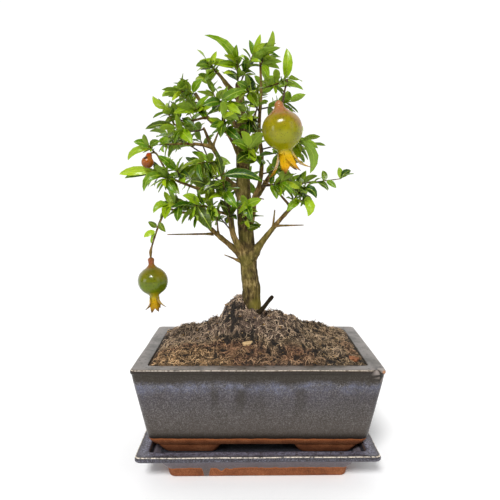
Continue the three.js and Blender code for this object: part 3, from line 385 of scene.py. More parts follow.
# From the underside up the wall, over the rim and down inside: how far each line is set in from
# the ends and sides, its corners' radius and its height. The feet: inset and height only.
POT_PROFILE = [
    (18.2, 8, 30.5), (15.2, 8, 34.5), (13.7, 7, 38.5), (9.53, 6.34, 62), (6.33, 5.84, 80),
    (4.37, 5.53, 91), (3.66, 5.42, 95), (1, 5, 110), (0, 5, 111), (0, 5, 113.8),
    (1.2, 5, 115), (15, 5, 115), (20, 8, 45), (23, 8, 40),
]
FOOT = {"middle_x": 70.75, "half_x": 33.25, "middle_y": 50.6, "half_y": 17}
FOOT_PROFILE = [(8.5, 18), (7, 18), (5.5, 19.5), (0.4, 27.5), (0, 29), (0, 33.5)]
HOLE_X, HOLE_RADIUS = 56, 9
RIM_TOP = 115
# Three olive streaks ran down the front from the blue border: x, half width, strength.
STREAKS = [(-43.5, 4, 0.8), (-17, 5, 1), (43, 6, 0.7)]
# The front right corner is worn: the middle of the wear, and how far it reaches along x, y, z.
WORN_MIDDLE = np.array([125, -87, 113])
WORN_REACH = np.array([17, 12, 10])


def combine(piece, tools, operation):
    """Joins the tool objects to a piece or cuts them out of it, keeping named values."""
    for tool in tools:
        modifier = piece.modifiers.new("combine", "BOOLEAN")
        modifier.operation, modifier.solver, modifier.object = operation, "MANIFOLD", tool
    shown = piece.evaluated_get(bpy.context.evaluated_depsgraph_get())
    mesh = bpy.data.meshes.new_from_object(shown)
    piece.modifiers.clear()
    piece.data = mesh
    for tool in tools:
        bpy.data.objects.remove(tool)
    return piece


soft = softened(POT_PROFILE, 1.3)
rings = rounded_rectangles(POT_HALF[0] - soft[:, 0], POT_HALF[1] - soft[:, 0],
                           soft[:, 1], soft[:, 2], CERAMIC_STEPS)
pot_values = ceramic_values(soft[:, [0, 2]], (0, RIM_TOP), rings)
waver = 0.3 * np.stack([noise3(rings, 45, seed) for seed in (4, 5, 6)], -1)
rings[..., :2] += waver[..., :2] - 0.3 * np.sign(rings[..., :2]) * (rings[..., 2:] > 105)
rings[..., 2] += waver[..., 2] * (rings[..., 2] > 105)
x, y, z = np.moveaxis(rings, -1, 0)
reach = np.clip((z - 64) / 14, 0, 1) * np.clip((97 - z) / 5, 0, 1) * (y < -60)
streak = sum(strong * np.exp(-(((x - at) / wide) ** 4)) for at, wide, strong in STREAKS) * reach
pot_values["streak"] = with_ends(streak)
worn = 1 - np.linalg.norm((rings - WORN_MIDDLE) / WORN_REACH, axis=-1)
pot_values["worn"] = with_ends(np.clip(worn, 0, 1))
pot_glaze = glaze_material(
    "pot_olive_and_lavender_glaze", (-35, 95),
    [(-30, "#2e2a24"), (-15.5, "#4a443c"), (-13.5, "#6e6763"), (-2, "#7c746e"), (0.2, "#463628"),
     (1.4, "#1f1814"), (4, "#28221a"), (9, "#29221a"), (16, "#2f2820"), (20, "#38343a"),
     (24, "#3a3539"), (30, "#393336"), (42, "#3d3736"), (56, "#433c38"), (70, "#4a433d"),
     (74, "#312a23"), (76.3, "#1a1512")],
    {"run": ("#292318", [(-35, "#808080"), (-10, "#909090"), (0, "#000000"), (13, "#000000"),
                         (17, "#e8e8e8"), (40, "#c0c0c0"), (62, "#404040"), (76, "#000000")]),
     "stain": ("#2f2a1b", [(-35, "#c0c0c0"), (-15, "#ffffff"), (-3, "#d0d0d0"), (2, "#808080"),
                           (16, "#303030"), (30, "#808080"), (62, "#606060")]),
     "patch": ("#6f7590", [(-35, "#000000"), (11, "#000000"), (14, "#a0a0a0"), (17, "#ffffff"),
                           (21, "#d0d0d0"), (28, "#707070"), (50, "#202020")]),
     "crystal": ("#9c9896", [(-35, "#606060"), (-14, "#909090"), (0, "#303030"), (11, "#585858"),
                             (17, "#b4b4b4"), (28, "#9c9c9c"), (50, "#9c9c9c"), (66, "#848484"),
                             (76, "#303030")]),
     "mottle": ("#25221d", [(-35, "#606060"), (-14, "#909090"), (0, "#606060"), (17, "#808080"),
                            (40, "#909090"), (70, "#808080"), (76, "#303030")])},
    77.6, 14, 0, 0.35)
pot = new_piece("pot_glazed", *lofted(rings), [pot_glaze], pot_values)
bare = {"down": 92.0, "corner": 0.0, "streak": 0.0, "worn": 0.0}  # of clay that no glaze covers
tools = []
for side_x in (-1, 1):
    for side_y in (-1, 1):
        inset, height = np.array(FOOT_PROFILE).T
        foot = rounded_rectangles(FOOT["half_x"] - inset, FOOT["half_y"] - inset,
                                  np.full(len(inset), 5), height, (14, 8), 6)
        foot += (side_x * FOOT["middle_x"], side_y * FOOT["middle_y"], 0)
        foot[..., :2] += 0.25 * noise3(foot, 14, 7)[..., None] * (foot[..., 2:] > 19)
        points, faces = lofted(foot)
        tools.append(new_piece("foot", points, faces, [pot_glaze],
                               {key: np.full(len(points), value) for key, value in bare.items()}))
combine(pot, tools, "UNION")
tools = []
for side_x in (-1, 1):
    angle = np.arange(40) / 40 * 2 * np.pi
    ring = np.stack([HOLE_RADIUS * np.cos(angle), HOLE_RADIUS * np.sin(angle), 0 * angle], -1)
    points, faces = lofted(ring + np.array([side_x * HOLE_X, 0, 0]) + [[[0, 0, 25]], [[0, 0, 46]]])
    tools.append(new_piece("hole", points, faces, [pot_glaze],
                           {key: np.full(len(points), value) for key, value in bare.items()}))
combine(pot, tools, "DIFFERENCE")
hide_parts("pot")
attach(pot, "root")


# ---- Drain netting ------------------------------------------------------------------------
# Two squares of black moulded plastic netting over the drain holes, under the soil. Their
# shape is the part's own; only the plastic's faint mould grain is added.

material, tree, shader, place = new_material("black_moulded_plastic", Roughness=0.55, IOR=1.46)
grain = add_node(tree, "TexNoise", {"Vector": place, "Scale": 1600, "Detail": 2})
colour = add_node(tree, "ValToRGB", {0: grain.outputs[0]}, [(0.3, "#1b1c1a"), (0.7, "#2b2c2a")])
tree.links.new(colour.outputs[0], shader.inputs["Base Color"])
for name in ("drain_mesh_left", "drain_mesh_right"):
    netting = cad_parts[name]
    netting.data.materials.clear()
    netting.data.materials.append(material)


# ---- Soil ---------------------------------------------------------------------------------
# A root ball of coconut fibre and peat, heaped round the trunk and pressed level at the rim.
# Its surface is all crumbs, clods and dark hollows between them.

SOIL_EDGE, SOIL_DOME = 112.5, 12
# Where the dome dies out, along x and along y.
SOIL_REACH = (112.5, 73)
SOIL_MIDDLE = np.array([-12, 4])
# Mounds: height, x, y, spread along x and along y.
MOUNDS = [(41, -22, 6, 22, 34), (26, 21, -2, 32, 34), (10, -5, 44, 105, 25)]
# Loose clods that stand over the heap: x, y, height, half width.
CLODS = [(-62, 40, 3, 7), (-52, 38, 5, 5), (-36, 4, 2, 5), (27, 4, 3, 5), (48, 30, 3, 8),
         (-72, -30, 2.5, 9), (70, -20, 3, 10), (-20, -52, 3, 8), (25, -48, 2.5, 7),
         (66, 34, 3, 9), (-88, 36, 3, 10), (-9, -31, -3.5, 8), (14, -52, -3, 7), (52, -40, -3, 6)]
# Clumps of dark peat among the fibres: x, y, half width.
DARK_CLUMPS = [(-62, 40, 9), (-48, 36, 6), (27, 4, 6), (24, -50, 5), (48, 30, 9), (66, -30, 4),
               (-44, -24, 2.5), (90, 20, 5)]


def soil_height(x, y, fine=1.0):
    """The soil's level: a low dome that dies out at the pot's wall, two mounds, waves of clods
    and crumbs, and noise of ever smaller lumps."""
    edge_x = np.minimum(1, np.abs(x) / SOIL_REACH[0])
    edge_y = np.minimum(1, np.abs(y) / SOIL_REACH[1])
    inside = 1 - np.maximum(edge_x, edge_y) ** 6
    level = SOIL_EDGE + SOIL_DOME * (1 - edge_x**4) * (1 - edge_y**4)
    for high, middle_x, middle_y, spread_x, spread_y in MOUNDS:
        away = np.hypot((x - middle_x) / spread_x, (y - middle_y) / spread_y)
        level = level + high * np.exp(-(away**2.6))
    waves = 2.2 * np.sin(x / 9 + 1.3 * np.sin(y / 12)) * np.sin(y / 10 + x / 23)
    waves = waves + 1.2 * np.sin(x / 4.7 + y / 6.1) * np.sin(y / 5.3 - x / 9)
    for clod_x, clod_y, high, half in CLODS:
        away = np.hypot(x - clod_x, y - clod_y) / half
        waves = waves + high * np.exp(-(away**4))
    flat = np.stack([x, y, 0 * x], -1)
    for size, deep in ((9, 1.3), (4.6, 1.3), (2.5, 0.9), (1.3, 0.4)):
        lump = noise3(flat, size, size)
        waves = waves + fine * deep * (1 - 2 * np.abs(lump) ** 0.8)
    return level + waves * inside


def soil_dark(x, y):
    """1 in the holes and a hollow, where shade is painted, and on the dark clumps of peat, 0
    elsewhere.
    """
    flat = np.stack([x, y, 0 * x], -1)
    # Painted shade: small holes scattered by noise, and the hollow in front of the trunk.
    hole = np.clip((noise3(flat, 5.5, 41) - 0.42) / 0.16, 0, 1)
    hollow = np.clip(1.5 - np.hypot((x + 9) / 7, (y + 31) / 4.5), 0, 1)
    clump = [np.clip(1.5 - np.hypot(x - clod_x, y - clod_y) / half, 0, 1)
             for clod_x, clod_y, half in DARK_CLUMPS]
    ragged = np.clip(0.5 + 1.4 * noise3(flat, 4, 42), 0, 1)
    return np.clip(np.maximum(hole, np.max([hollow, *clump], axis=0) * ragged), 0, 1)


wall = [(23.3, 8, 40.3), (20.3, 8, 45.3), (15.5, 8, 111)]
outline = rounded_rectangles(*(np.array(v) for v in zip(*[
    (POT_HALF[0] - inset, POT_HALF[1] - inset, radius, height) for inset, radius, height in wall])),
    (150, 96), 10)
scale = np.concatenate([[0.997, 0.992], np.linspace(0.985, 0.02, 118)])[:, None, None]
top = SOIL_MIDDLE + (outline[2, None, :, :2] - SOIL_MIDDLE) * scale
height = soil_height(top[..., 0], top[..., 1])
rings = np.concatenate([outline, np.concatenate([top, height[..., None]], -1)])
points, faces = lofted(rings)


def soil_tone(points):
    """0 to 1 over the soil: 0 grey-brown on the mound and behind, about 0.35 olive at the
    right, 0.7 red-brown in the front middle, 1 tan-yellow at the front left."""
    x, y, z = np.moveaxis(points, -1, 0)
    front = np.clip((-y - 8) / 30, 0, 1) * np.clip((138 - z) / 14, 0, 1)
    left = np.clip((-x - 8) / 50, 0, 1)
    right = np.clip((x - 30) / 40, 0, 1)
    tone = front * (0.68 + 0.32 * left) * (1 - right) + 0.36 * right
    return np.clip(tone + 0.22 * noise3(points, 17, 9), 0, 1)


material, tree, shader, place = new_material("coir_and_peat", Roughness=0.95)
tone = add_node(tree, "Attribute", attribute_name="tone").outputs["Fac"]
grain = add_node(tree, "TexNoise", {"Vector": place, "Scale": 700, "Detail": 5})
patch = add_node(tree, "TexNoise", {"Vector": place, "Scale": 140, "Detail": 4})
area = add_node(tree, "ValToRGB", {0: tone}, [
    (0, "#80695a"), (0.36, "#7a664c"), (0.7, "#77523c"), (1, "#9a7850")])
light = add_node(tree, "Math", {0: grain.outputs[0], 1: patch.outputs[0]}, operation="ADD")
shade = add_node(tree, "ValToRGB", {0: add_node(tree, "MapRange", {
    "Value": light.outputs[0], 1: 0.65, 2: 1.35}).outputs[0]}, [
        (0.1, "#140f0a"), (0.4, "#4c4844"), (0.6, "#b8b8b8"), (1, "#ffffff")])
colour = add_node(tree, "Mix", {0: 1.0, 6: area.outputs[0], 7: shade.outputs[0]},
                  data_type="RGBA", blend_type="MULTIPLY")
# Painted shade: the holes and hollows between the clods are darkened; the same value gives the
# clumps of peat their own dark colour.
hole = add_node(tree, "Attribute", attribute_name="hole").outputs["Fac"]
colour = add_node(tree, "Mix", {0: hole, 6: colour.outputs[2], 7: linear("#0f0a06")},
                  data_type="RGBA")
tree.links.new(colour.outputs[2], shader.inputs["Base Color"])
bump = add_node(tree, "Bump", {"Height": grain.outputs[0], "Strength": 0.9, "Distance": 0.0008})
tree.links.new(bump.outputs[0], shader.inputs["Normal"])
# Painted shade where the surface lies below its smoothed level, deepest at 2 mm.
hole = np.clip(soil_height(points[:, 0], points[:, 1], 0) - points[:, 2], 0, 2) / 2
hole = np.maximum(hole, soil_dark(points[:, 0], points[:, 1]))
soil = new_piece("soil_relief", points, faces, [material],
                 {"tone": soil_tone(points), "hole": 0.9 * hole}, sharp=180)
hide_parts("soil")
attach(soil, "root")


# ---- Soil fibres and crumbs ---------------------------------------------------------------
# Coconut fibres, curly and springy, lie over the whole surface, pale ones over dark ones, with
# crumbs of peat and bark between them.

CHIP_PLACES = [(-10, -38), (98, -56)]
# A fibre is a tube of three sides, tapered at both ends, over this many places along it.
FIBRE_SIDES = 3
FIBRE_TAPER = np.array([0.5, 0.9, 1, 1, 0.95, 0.8, 0.35])
CRUMBS = 1500
rng = np.random.default_rng(17)


def tubes(paths, radius, sides):
    """Closed tubes along paths (n, k, 3), with a radius for each path and station: rings stand
    square to the path, turned as little as they can be from a fixed direction."""
    along = np.gradient(paths, axis=1)
    along /= np.linalg.norm(along, axis=-1, keepdims=True)
    fixed = np.where(np.abs(along[..., 2:]).mean(1, keepdims=True) > 0.8, [1, 0.2, 0], [0.1, 0.2, 1])
    across = np.cross(along, fixed)
    across /= np.linalg.norm(across, axis=-1, keepdims=True)
    upward = np.cross(along, across)
    angle = np.arange(sides) / sides * 2 * np.pi
    spoke = (across[:, :, None] * np.cos(angle)[:, None]
             + upward[:, :, None] * np.sin(angle)[:, None])
    rings = paths[:, :, None] + spoke * radius[..., None, None]
    number, steps = paths.shape[:2]
    j, k = np.arange(sides), (np.arange(sides) + 1) % sides
    low = (np.arange(steps - 1) * sides)[:, None]
    quads = np.stack([low + j, low + k, low + sides + k, low + sides + j], -1).reshape(-1, 4)
    caps = np.stack([j[::-1], (steps - 1) * sides + j])
    first = (np.arange(number) * steps * sides)[:, None, None]
    return rings.reshape(-1, 3), [(quads + first).reshape(-1, 4), (caps + first).reshape(-1, sides)]


def fibre_paths(number, longest, lift, seed):
    """Curly paths over the soil: the heading drifts and swings along the way, and the height
    bows up from the surface between the two ends."""
    draw = np.random.default_rng(seed)
    x = draw.uniform(-110, 110, number)
    y = draw.uniform(-71, 71, number)
    t = np.linspace(0, 1, len(FIBRE_TAPER))
    long = longest * draw.uniform(0.25, 1, (number, 1))
    heading = draw.uniform(0, 2 * np.pi, (number, 1)) + draw.normal(0, 2.6, (number, 1)) * t
    heading = heading + draw.normal(0, 1.3, (number, 1)) * np.sin(
        draw.uniform(3, 8, (number, 1)) * t + draw.uniform(0, 6, (number, 1)))
    step = np.stack([np.cos(heading), np.sin(heading)], -1) * long[..., None] / (len(t) - 1)
    # On a slope a step is shortened in plan, so that it keeps its length along the ground.
    slope = np.stack([soil_height(x + 3, y, 0) - soil_height(x - 3, y, 0),
                      soil_height(x, y + 3, 0) - soil_height(x, y - 3, 0)], -1) / 6
    steep = (slope**2).sum(-1) + 1e-6
    climb = np.einsum("nki,ni->nk", step, slope) * ((1 - (1 + steep) ** -0.5) / steep)[:, None]
    step = step - climb[..., None] * slope[:, None]
    flat = np.stack([x, y], -1)[:, None] + np.cumsum(step, 1) - step[:, :1]
    rise = lift * draw.uniform(0, 1, (number, 1)) ** 2 * np.sin(np.pi * t * draw.uniform(
        0.5, 1.1, (number, 1)))
    level = soil_height(flat[..., 0], flat[..., 1], 0.6) + 0.25 + rise
    paths = np.concatenate([flat, level[..., None]], -1)
    inside = (np.abs(flat) < [110.8, 71.4]).all((1, 2)) & (np.ptp(level, axis=1) < 9)
    clear = (np.hypot(flat[..., 0] + 6, flat[..., 1]) > 9.5) & off_the_chips(flat)
    return paths[inside & clear.all(1)]


def off_the_chips(flat):
    """Whether places (..., 2) on the soil keep clear of both flakes of bark."""
    away = [np.hypot((flat[..., 0] - x) / 7.5, (flat[..., 1] - y) / 5.5) for x, y in CHIP_PLACES]
    return np.min(away, axis=0) > 1


fibre_looks = {
    "soil_fibres_dark": ("dark_coir_fibre", 1500, 10, 1.6, 0.36, 21, [
        (0, "#3a2d26"), (0.36, "#3f3424"), (0.7, "#452d1d"), (1, "#554027")]),
    "soil_fibres_pale": ("pale_coir_fibre", 5500, 12, 3.4, 0.29, 22, [
        (0, "#ead2ba"), (0.36, "#d6bc9a"), (0.7, "#cc9e7c"), (1, "#f6d0a2")]),
}
for name, (real, number, longest, lift, thick, seed, stops) in fibre_looks.items():
    paths = fibre_paths(number, longest, lift, seed)
    radius = thick * rng.uniform(0.5, 1.2, (len(paths), 1)) * FIBRE_TAPER
    points, faces = tubes(paths, radius, FIBRE_SIDES)
    own = np.repeat(rng.uniform(0, 1, len(paths)), len(FIBRE_TAPER) * FIBRE_SIDES)
    material, tree, shader, place = new_material(real, Roughness=0.75)
    tone, single, shade_and_peat = (
        add_node(tree, "Attribute", attribute_name=pattern).outputs["Fac"]
        for pattern in ("tone", "single", "shade_and_peat"))
    area = add_node(tree, "ValToRGB", {0: tone}, stops)
    shade = add_node(tree, "ValToRGB", {0: single}, [(0, "#564c42"), (0.4, "#b0a89e"),
                                                     (1, "#fffaf0")])
    colour = add_node(tree, "Mix", {0: 1.0, 6: area.outputs[0], 7: shade.outputs[0]},
                      data_type="RGBA", blend_type="MULTIPLY")
    # Painted shade: fibres over the soil's holes and hollows are darkened, and so are those over the
    # clumps of dark peat.
    colour = add_node(tree, "Mix", {0: shade_and_peat, 6: colour.outputs[2], 7: linear("#150e09")},
                      data_type="RGBA")
    tree.links.new(colour.outputs[2], shader.inputs["Base Color"])
    shade_and_peat = 0.92 * soil_dark(points[:, 0], points[:, 1])
    fibres = new_piece(name, points, faces, [material],
                       {"tone": soil_tone(points), "single": own, "shade_and_peat": shade_and_peat})
    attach(fibres, "root")

# Crumbs: lumps of twenty faces, each stretched and turned by chance.
golden = (1 + 5**0.5) / 2
corners = np.array([(0, a, b * golden) for a in (-1, 1) for b in (-1, 1)])
corners = np.vstack([corners, corners[:, [2, 0, 1]], corners[:, [1, 2, 0]]]) / 1.9
apart = np.linalg.norm(corners[:, None] - corners, axis=-1)
side = np.sort(apart, axis=1)[:, 1].min() * 1.01
triples = np.array([(a, b, c) for a in range(12) for b in range(a + 1, 12)
                    for c in range(b + 1, 12) if max(apart[a, b], apart[b, c], apart[a, c]) < side])
facing = np.einsum("ij,ij->i", np.cross(corners[triples[:, 1]] - corners[triples[:, 0]],
                                        corners[triples[:, 2]] - corners[triples[:, 0]]),
                   corners[triples[:, 0]])
triples[facing < 0] = triples[facing < 0][:, [0, 2, 1]]
spots = rng.uniform((-109, -70), (109, 70), (CRUMBS, 2))
x, y = spots[off_the_chips(spots)].T
number = len(x)
size = 0.55 + 1.5 * rng.uniform(0, 1, number) ** 3
turn = rng.uniform(0, np.pi, number)
lump = corners * (1 + 0.35 * rng.uniform(-1, 1, (number, 12, 1)))
lump = lump * np.stack([size, size * rng.uniform(0.5, 1, number), size * 0.6], -1)[:, None]
cos, sin = np.cos(turn)[:, None], np.sin(turn)[:, None]
lump = np.stack([lump[..., 0] * cos - lump[..., 1] * sin, lump[..., 0] * sin + lump[..., 1] * cos,
                 lump[..., 2]], -1)
points = lump + np.stack([x, y, soil_height(x, y, 0.8) + 0.2 * size], -1)[:, None]
faces = [(triples + 12 * np.arange(number)[:, None, None]).reshape(-1, 3)]
material, tree, shader, place = new_material("peat_and_bark_crumb", Roughness=0.95)
single = add_node(tree, "Attribute", attribute_name="single").outputs["Fac"]
colour = add_node(tree, "ValToRGB", {0: single}, [
    (0, "#20180f"), (0.4, "#3f2f1d"), (0.75, "#6b4f2c"), (0.93, "#a8834d"), (1, "#c9b48c")])
grain = add_node(tree, "TexNoise", {"Vector": place, "Scale": 900, "Detail": 3})
shade = add_node(tree, "ValToRGB", {0: grain.outputs[0]}, [(0.3, "#808080"), (0.6, "#ffffff")])
colour = add_node(tree, "Mix", {0: 1.0, 6: colour.outputs[0], 7: shade.outputs[0]},
                  data_type="RGBA", blend_type="MULTIPLY")
tree.links.new(colour.outputs[2], shader.inputs["Base Color"])
crumbs = new_piece("soil_crumbs", points, faces, [material],
                   {"single": np.repeat(rng.uniform(0, 1, number), 12)}, sharp=30)
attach(crumbs, "root")


# ---- Bark chips ---------------------------------------------------------------------------
# Two flakes of pine bark that lie bedded in the soil: one weathered pale, one fresh and red.
# Bark splits in thin layers, so their edges step and their faces are ribbed along the grain.

CHIPS = {
    "bark_chip_pale": (0.5, 0.35, (13, 7, 2), "pale_bark_chip",
                       [(0.2, "#8a6a42"), (0.5, "#c2a172"), (0.8, "#dcc49a")]),
    "bark_chip_red": (-0.5, 0.2, (15, 8, 2.5), "red_bark_chip",
                      [(0.36, "#2e1c12"), (0.5, "#84502f"), (0.62, "#b0744a")]),
}
for name, (turn, tilt, (long, wide, thick), slot, stops) in CHIPS.items():
    height = np.array([-0.5, -0.5, -0.15, -0.1, 0.12, 0.18, 0.5, 0.5]) * thick
    inset = np.array([1.2, 0.5, 0.1, 0.7, 0.3, 1.1, 0.9, 1.6])
    flake = rounded_rectangles(long / 2 - inset, wide / 2 - inset, np.full(8, 0.7), height, (22, 12), 3)
    flake[..., 0] += 0.5 * noise3(flake, (2.2, 2.2, 9), 11)
    flake[..., 1] += 0.45 * noise3(flake, (2.6, 2.6, 9), 12)
    flake[..., 2] += 0.3 * noise3(flake, (9, 1.1, 9), 13) + 0.25 * noise3(flake, 4, 14)
    cos, sin = math.cos(tilt), math.sin(tilt)
    flake[..., 1:] = flake[..., 1:] @ np.array([[cos, sin], [-sin, cos]])
    cos, sin = math.cos(turn), math.sin(turn)
    flake[..., :2] = flake[..., :2] @ np.array([[cos, sin], [-sin, cos]])
    low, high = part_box(name)
    middle = np.array((low + high) / 2) * 1000 - CENTRE
    material, tree, shader, place = new_material(name.replace("bark_chip", "weathered_pine_bark"),
                                                 Roughness=0.85)
    turned = add_node(tree, "Mapping", {"Vector": place, "Rotation": (0, 0, -turn),
                                        "Scale": (0.2, 1, 1)})
    grain = add_node(tree, "TexNoise", {"Vector": turned.outputs[0], "Scale": 800, "Detail": 4})
    colour = add_node(tree, "ValToRGB", {0: grain.outputs[0]}, stops)
    tree.links.new(colour.outputs[0], shader.inputs["Base Color"])
    flake = new_piece(name + "_flake", *lofted(flake + middle), [material], sharp=30)
    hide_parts(name)
    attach(flake, "root")


# ---- Tree wood ----------------------------------------------------------------------------
# The trunk and its co-stems, branches, thorns and pruned stubs, grown as one piece. Old bark is
# grey-brown and ridged along the stem, young wood is smoother and tan; a branch swells where it
# leaves its parent.

# Each limb is a list of points [x, y, z, radius] that its axis passes through.
LIMBS = {
    "trunk": [[-6, 0, 128, 9], [-6, 0, 140, 12], [-7, 0, 154, 11], [-7, 0, 168, 10.2],
        [-7, 0, 181, 9.6], [-9, 0, 195, 9.4], [-11, 0, 225, 8.7], [-14, 0, 261, 8.3],
        [-16, 2, 298, 7.6], [-17, 3, 336, 6.2], [-18, 3, 371, 5.4], [-20, 2, 407, 4]],
    "right_branch": [[-7, -2, 218, 5], [1, -6, 229, 3.6], [14, -10, 246, 2.6], [27, -14, 262, 2],
        [36, -17, 272, 1.9], [40, -18, 276, 2.2]],
    "right_thorn": [[19, -12, 253, 1.4], [50, -18, 254, 0.5]],
    "right_spur": [[17, -11, 249, 1.3], [19, -14, 270, 0.7]],
    "knob_twig": [[36, -17, 274, 1.3], [20, -24, 291, 1], [6, -28, 302, 0.7]],
    "left_branch": [[-13, 0, 216, 4.5], [-21, -4, 223, 3.4], [-45, -12, 244, 2.4],
        [-68, -22, 265, 1.6], [-85, -28, 269, 1.2], [-96, -34, 272, 1.1], [-101, -39, 261, 1],
        [-106, -43, 247, 0.9], [-110, -45, 234, 0.9], [-111.3, -46, 228, 1.5],
        [-111.3, -46, 221, 0.9]],
    "left_thorn": [[-48, -12, 244, 1.3], [-97, -22, 244, 0.5]],
    "low_thorn": [[-15, -4, 211, 1.6], [-36, -14, 221, 0.5]],
    "left_spur": [[-43, -11, 243, 1.2], [-44, -16, 263, 0.6]],
    "left_costem": [[-12, -3, 212, 5], [-18, -9, 226, 3.6], [-26, -12, 242, 3.2],
        [-30, -14, 267, 2.9], [-35, -15, 287, 2.7], [-40, -16, 322, 2.4], [-49, -18, 339, 2.3]],
    "cs_stub": [[-49, -18, 338, 2.2], [-52, -19, 345, 1.8], [-57, -22, 357, 1.2]],
    "cs_twig": [[-48, -18, 338, 1.3], [-40, -24, 356, 0.7]],
    "cs_left": [[-48, -18, 338, 2], [-63, -24, 340, 1.6], [-78, -30, 340, 1.2], [-93, -34, 339, 0.8]],
    "bud_twig": [[-35, -15, 285, 1.9], [-56, -22, 291, 1.6], [-76, -30, 298, 1.3],
        [-90, -36, 305, 1.1], [-98, -38, 317, 0.9], [-106, -39, 330, 0.9],
        [-111.7, -42.5, 328.7, 0.8]],
    "cs_side": [[-31, -14, 266, 1.7], [-44, -20, 269, 1.3], [-55, -26, 274, 0.9]],
    "right_costem": [[-10, -6, 253, 3.4], [-5, -11, 268, 3], [-3, -12, 284, 2.6], [2, -10, 296, 2.4],
        [5, -4, 325, 2.1], [2, 0, 358, 1.9], [4, -2, 399, 1.5], [3, -4, 429, 1]],
    "rc_thorn": [[-3, -12, 284, 1], [7, -16, 282, 0.5]],
    "upper_left": [[-19, 2, 392, 3], [-31, -2, 403, 2.6], [-40, -6, 414, 1.8], [-50, -10, 424, 0.9]],
    "pruned_left": [[-19, 2, 349, 3], [-39, -4, 359, 2.6], [-55, -10, 371, 2.1],
        [-58, -12, 380, 1.9], [-66, -14, 394, 1.6]],
    "mid_branch": [[-15, 0, 319, 2.6], [-20, -8, 328, 2], [-27, -14, 343, 1.5], [-34, -18, 354, 1]],
    "far_left_twig": [[-55, -10, 370, 1.4], [-72, -14, 365, 1.1], [-86, -18, 360, 0.9],
        [-97, -22, 377, 0.7]],
    "back_right": [[-14, 2, 268, 4], [2, 14, 288, 3], [22, 34, 318, 2.4], [40, 50, 334, 1.7]],
    "back_left": [[-15, 2, 284, 4], [-28, 16, 298, 3], [-40, 28, 310, 2.5], [-66, 46, 336, 1.7]],
    "back_up": [[-18, 3, 332, 3.2], [-12, 24, 352, 2.4], [-2, 42, 380, 1.6]],
    "back_up_left": [[-19, 3, 356, 2.6], [-32, 18, 376, 2], [-44, 28, 388, 1.4]],
    "root_stub": [[-6, -3, 148, 2.6], [4, -11, 158, 2.5], [16.5, -14, 174, 2.1]],
}


def through_points(route, steps):
    """Points along a smooth curve through the route's: the centripetal Catmull-Rom curve, whose
    pace over each span is the square root of the span's length, with mirrored ends."""
    p = np.array(route, float)
    p = np.vstack([2 * p[0] - p[1], p, 2 * p[-1] - p[-2]])
    pace = np.sqrt(np.maximum(np.linalg.norm(np.diff(p[:, :3], axis=0), axis=1), 1e-4))[:, None]
    spans = len(route) - 1
    place = np.linspace(0, spans, steps)
    i = np.minimum(place.astype(int), spans - 1)
    t = (place - i)[:, None]
    d0, d1, d2 = pace[i], pace[i + 1], pace[i + 2]
    a, b, c, d = p[i], p[i + 1], p[i + 2], p[i + 3]
    leave = ((b - a) / d0 - (c - a) / (d0 + d1) + (c - b) / d1) * d1
    arrive = ((c - b) / d1 - (d - b) / (d1 + d2) + (d - c) / d2) * d1
    curve = ((2 * t**3 - 3 * t**2 + 1) * b + (t**3 - 2 * t**2 + t) * leave
             + (3 * t**2 - 2 * t**3) * c + (t**3 - t**2) * arrive)
    curve[:, 3:] = (b + (c - b) * t)[:, 3:]
    return curve


def stem(axis, radius, sides, lobes, seed):
    """Rings round an axis (k, 3): the frame is carried along it, the section is lobed, and
    ridges of noise drawn out along the stem stand on it. Two rings round off the end."""
    along = np.gradient(axis, axis=0)
    along /= np.linalg.norm(along, axis=1, keepdims=True)
    across = np.array([0.9, 0.3, 0.1])
    angle = np.arange(sides) / sides * 2 * np.pi
    axis = np.vstack([axis, axis[-1] + along[-1] * radius[-1] * 0.45,
                      axis[-1] + along[-1] * radius[-1] * 0.7])
    along = np.vstack([along, along[-1:], along[-1:]])
    radius = np.concatenate([radius, radius[-1:] * 0.8, radius[-1:] * 0.4])
    frames = np.empty((len(axis), 3))
    for index, way in enumerate(along):
        across = across - way * (across @ way)
        across = across / np.linalg.norm(across)
        frames[index] = across
    upward = np.cross(along, frames)
    t = np.linspace(0, 1, len(axis))[:, None]
    run = np.concatenate([[0], np.cumsum(np.linalg.norm(np.diff(axis, axis=0), axis=1))])
    lobe = lobes * (np.cos(3 * angle + 2.2 * t) + 0.5 * np.cos(5 * angle))
    girth = radius[:, None] * np.ones(sides)
    place = np.stack([girth * np.cos(angle), girth * np.sin(angle), run[:, None] + 0 * girth], -1)
    rough = np.minimum(0.09 * girth, 0.5)
    ridge = 1 - 2 * np.abs(noise3(place, (2.6, 2.6, 15), seed))
    ridge = ridge + 0.6 * noise3(place, (1.4, 1.4, 4), seed + 1) + 0.5 * noise3(place, 9, seed + 2)
    reach = girth * (1 + lobe) + rough * ridge
    rings = (axis[:, None] + frames[:, None] * (reach * np.cos(angle))[..., None]
             + upward[:, None] * (reach * np.sin(angle))[..., None])
    return rings, ridge, girth


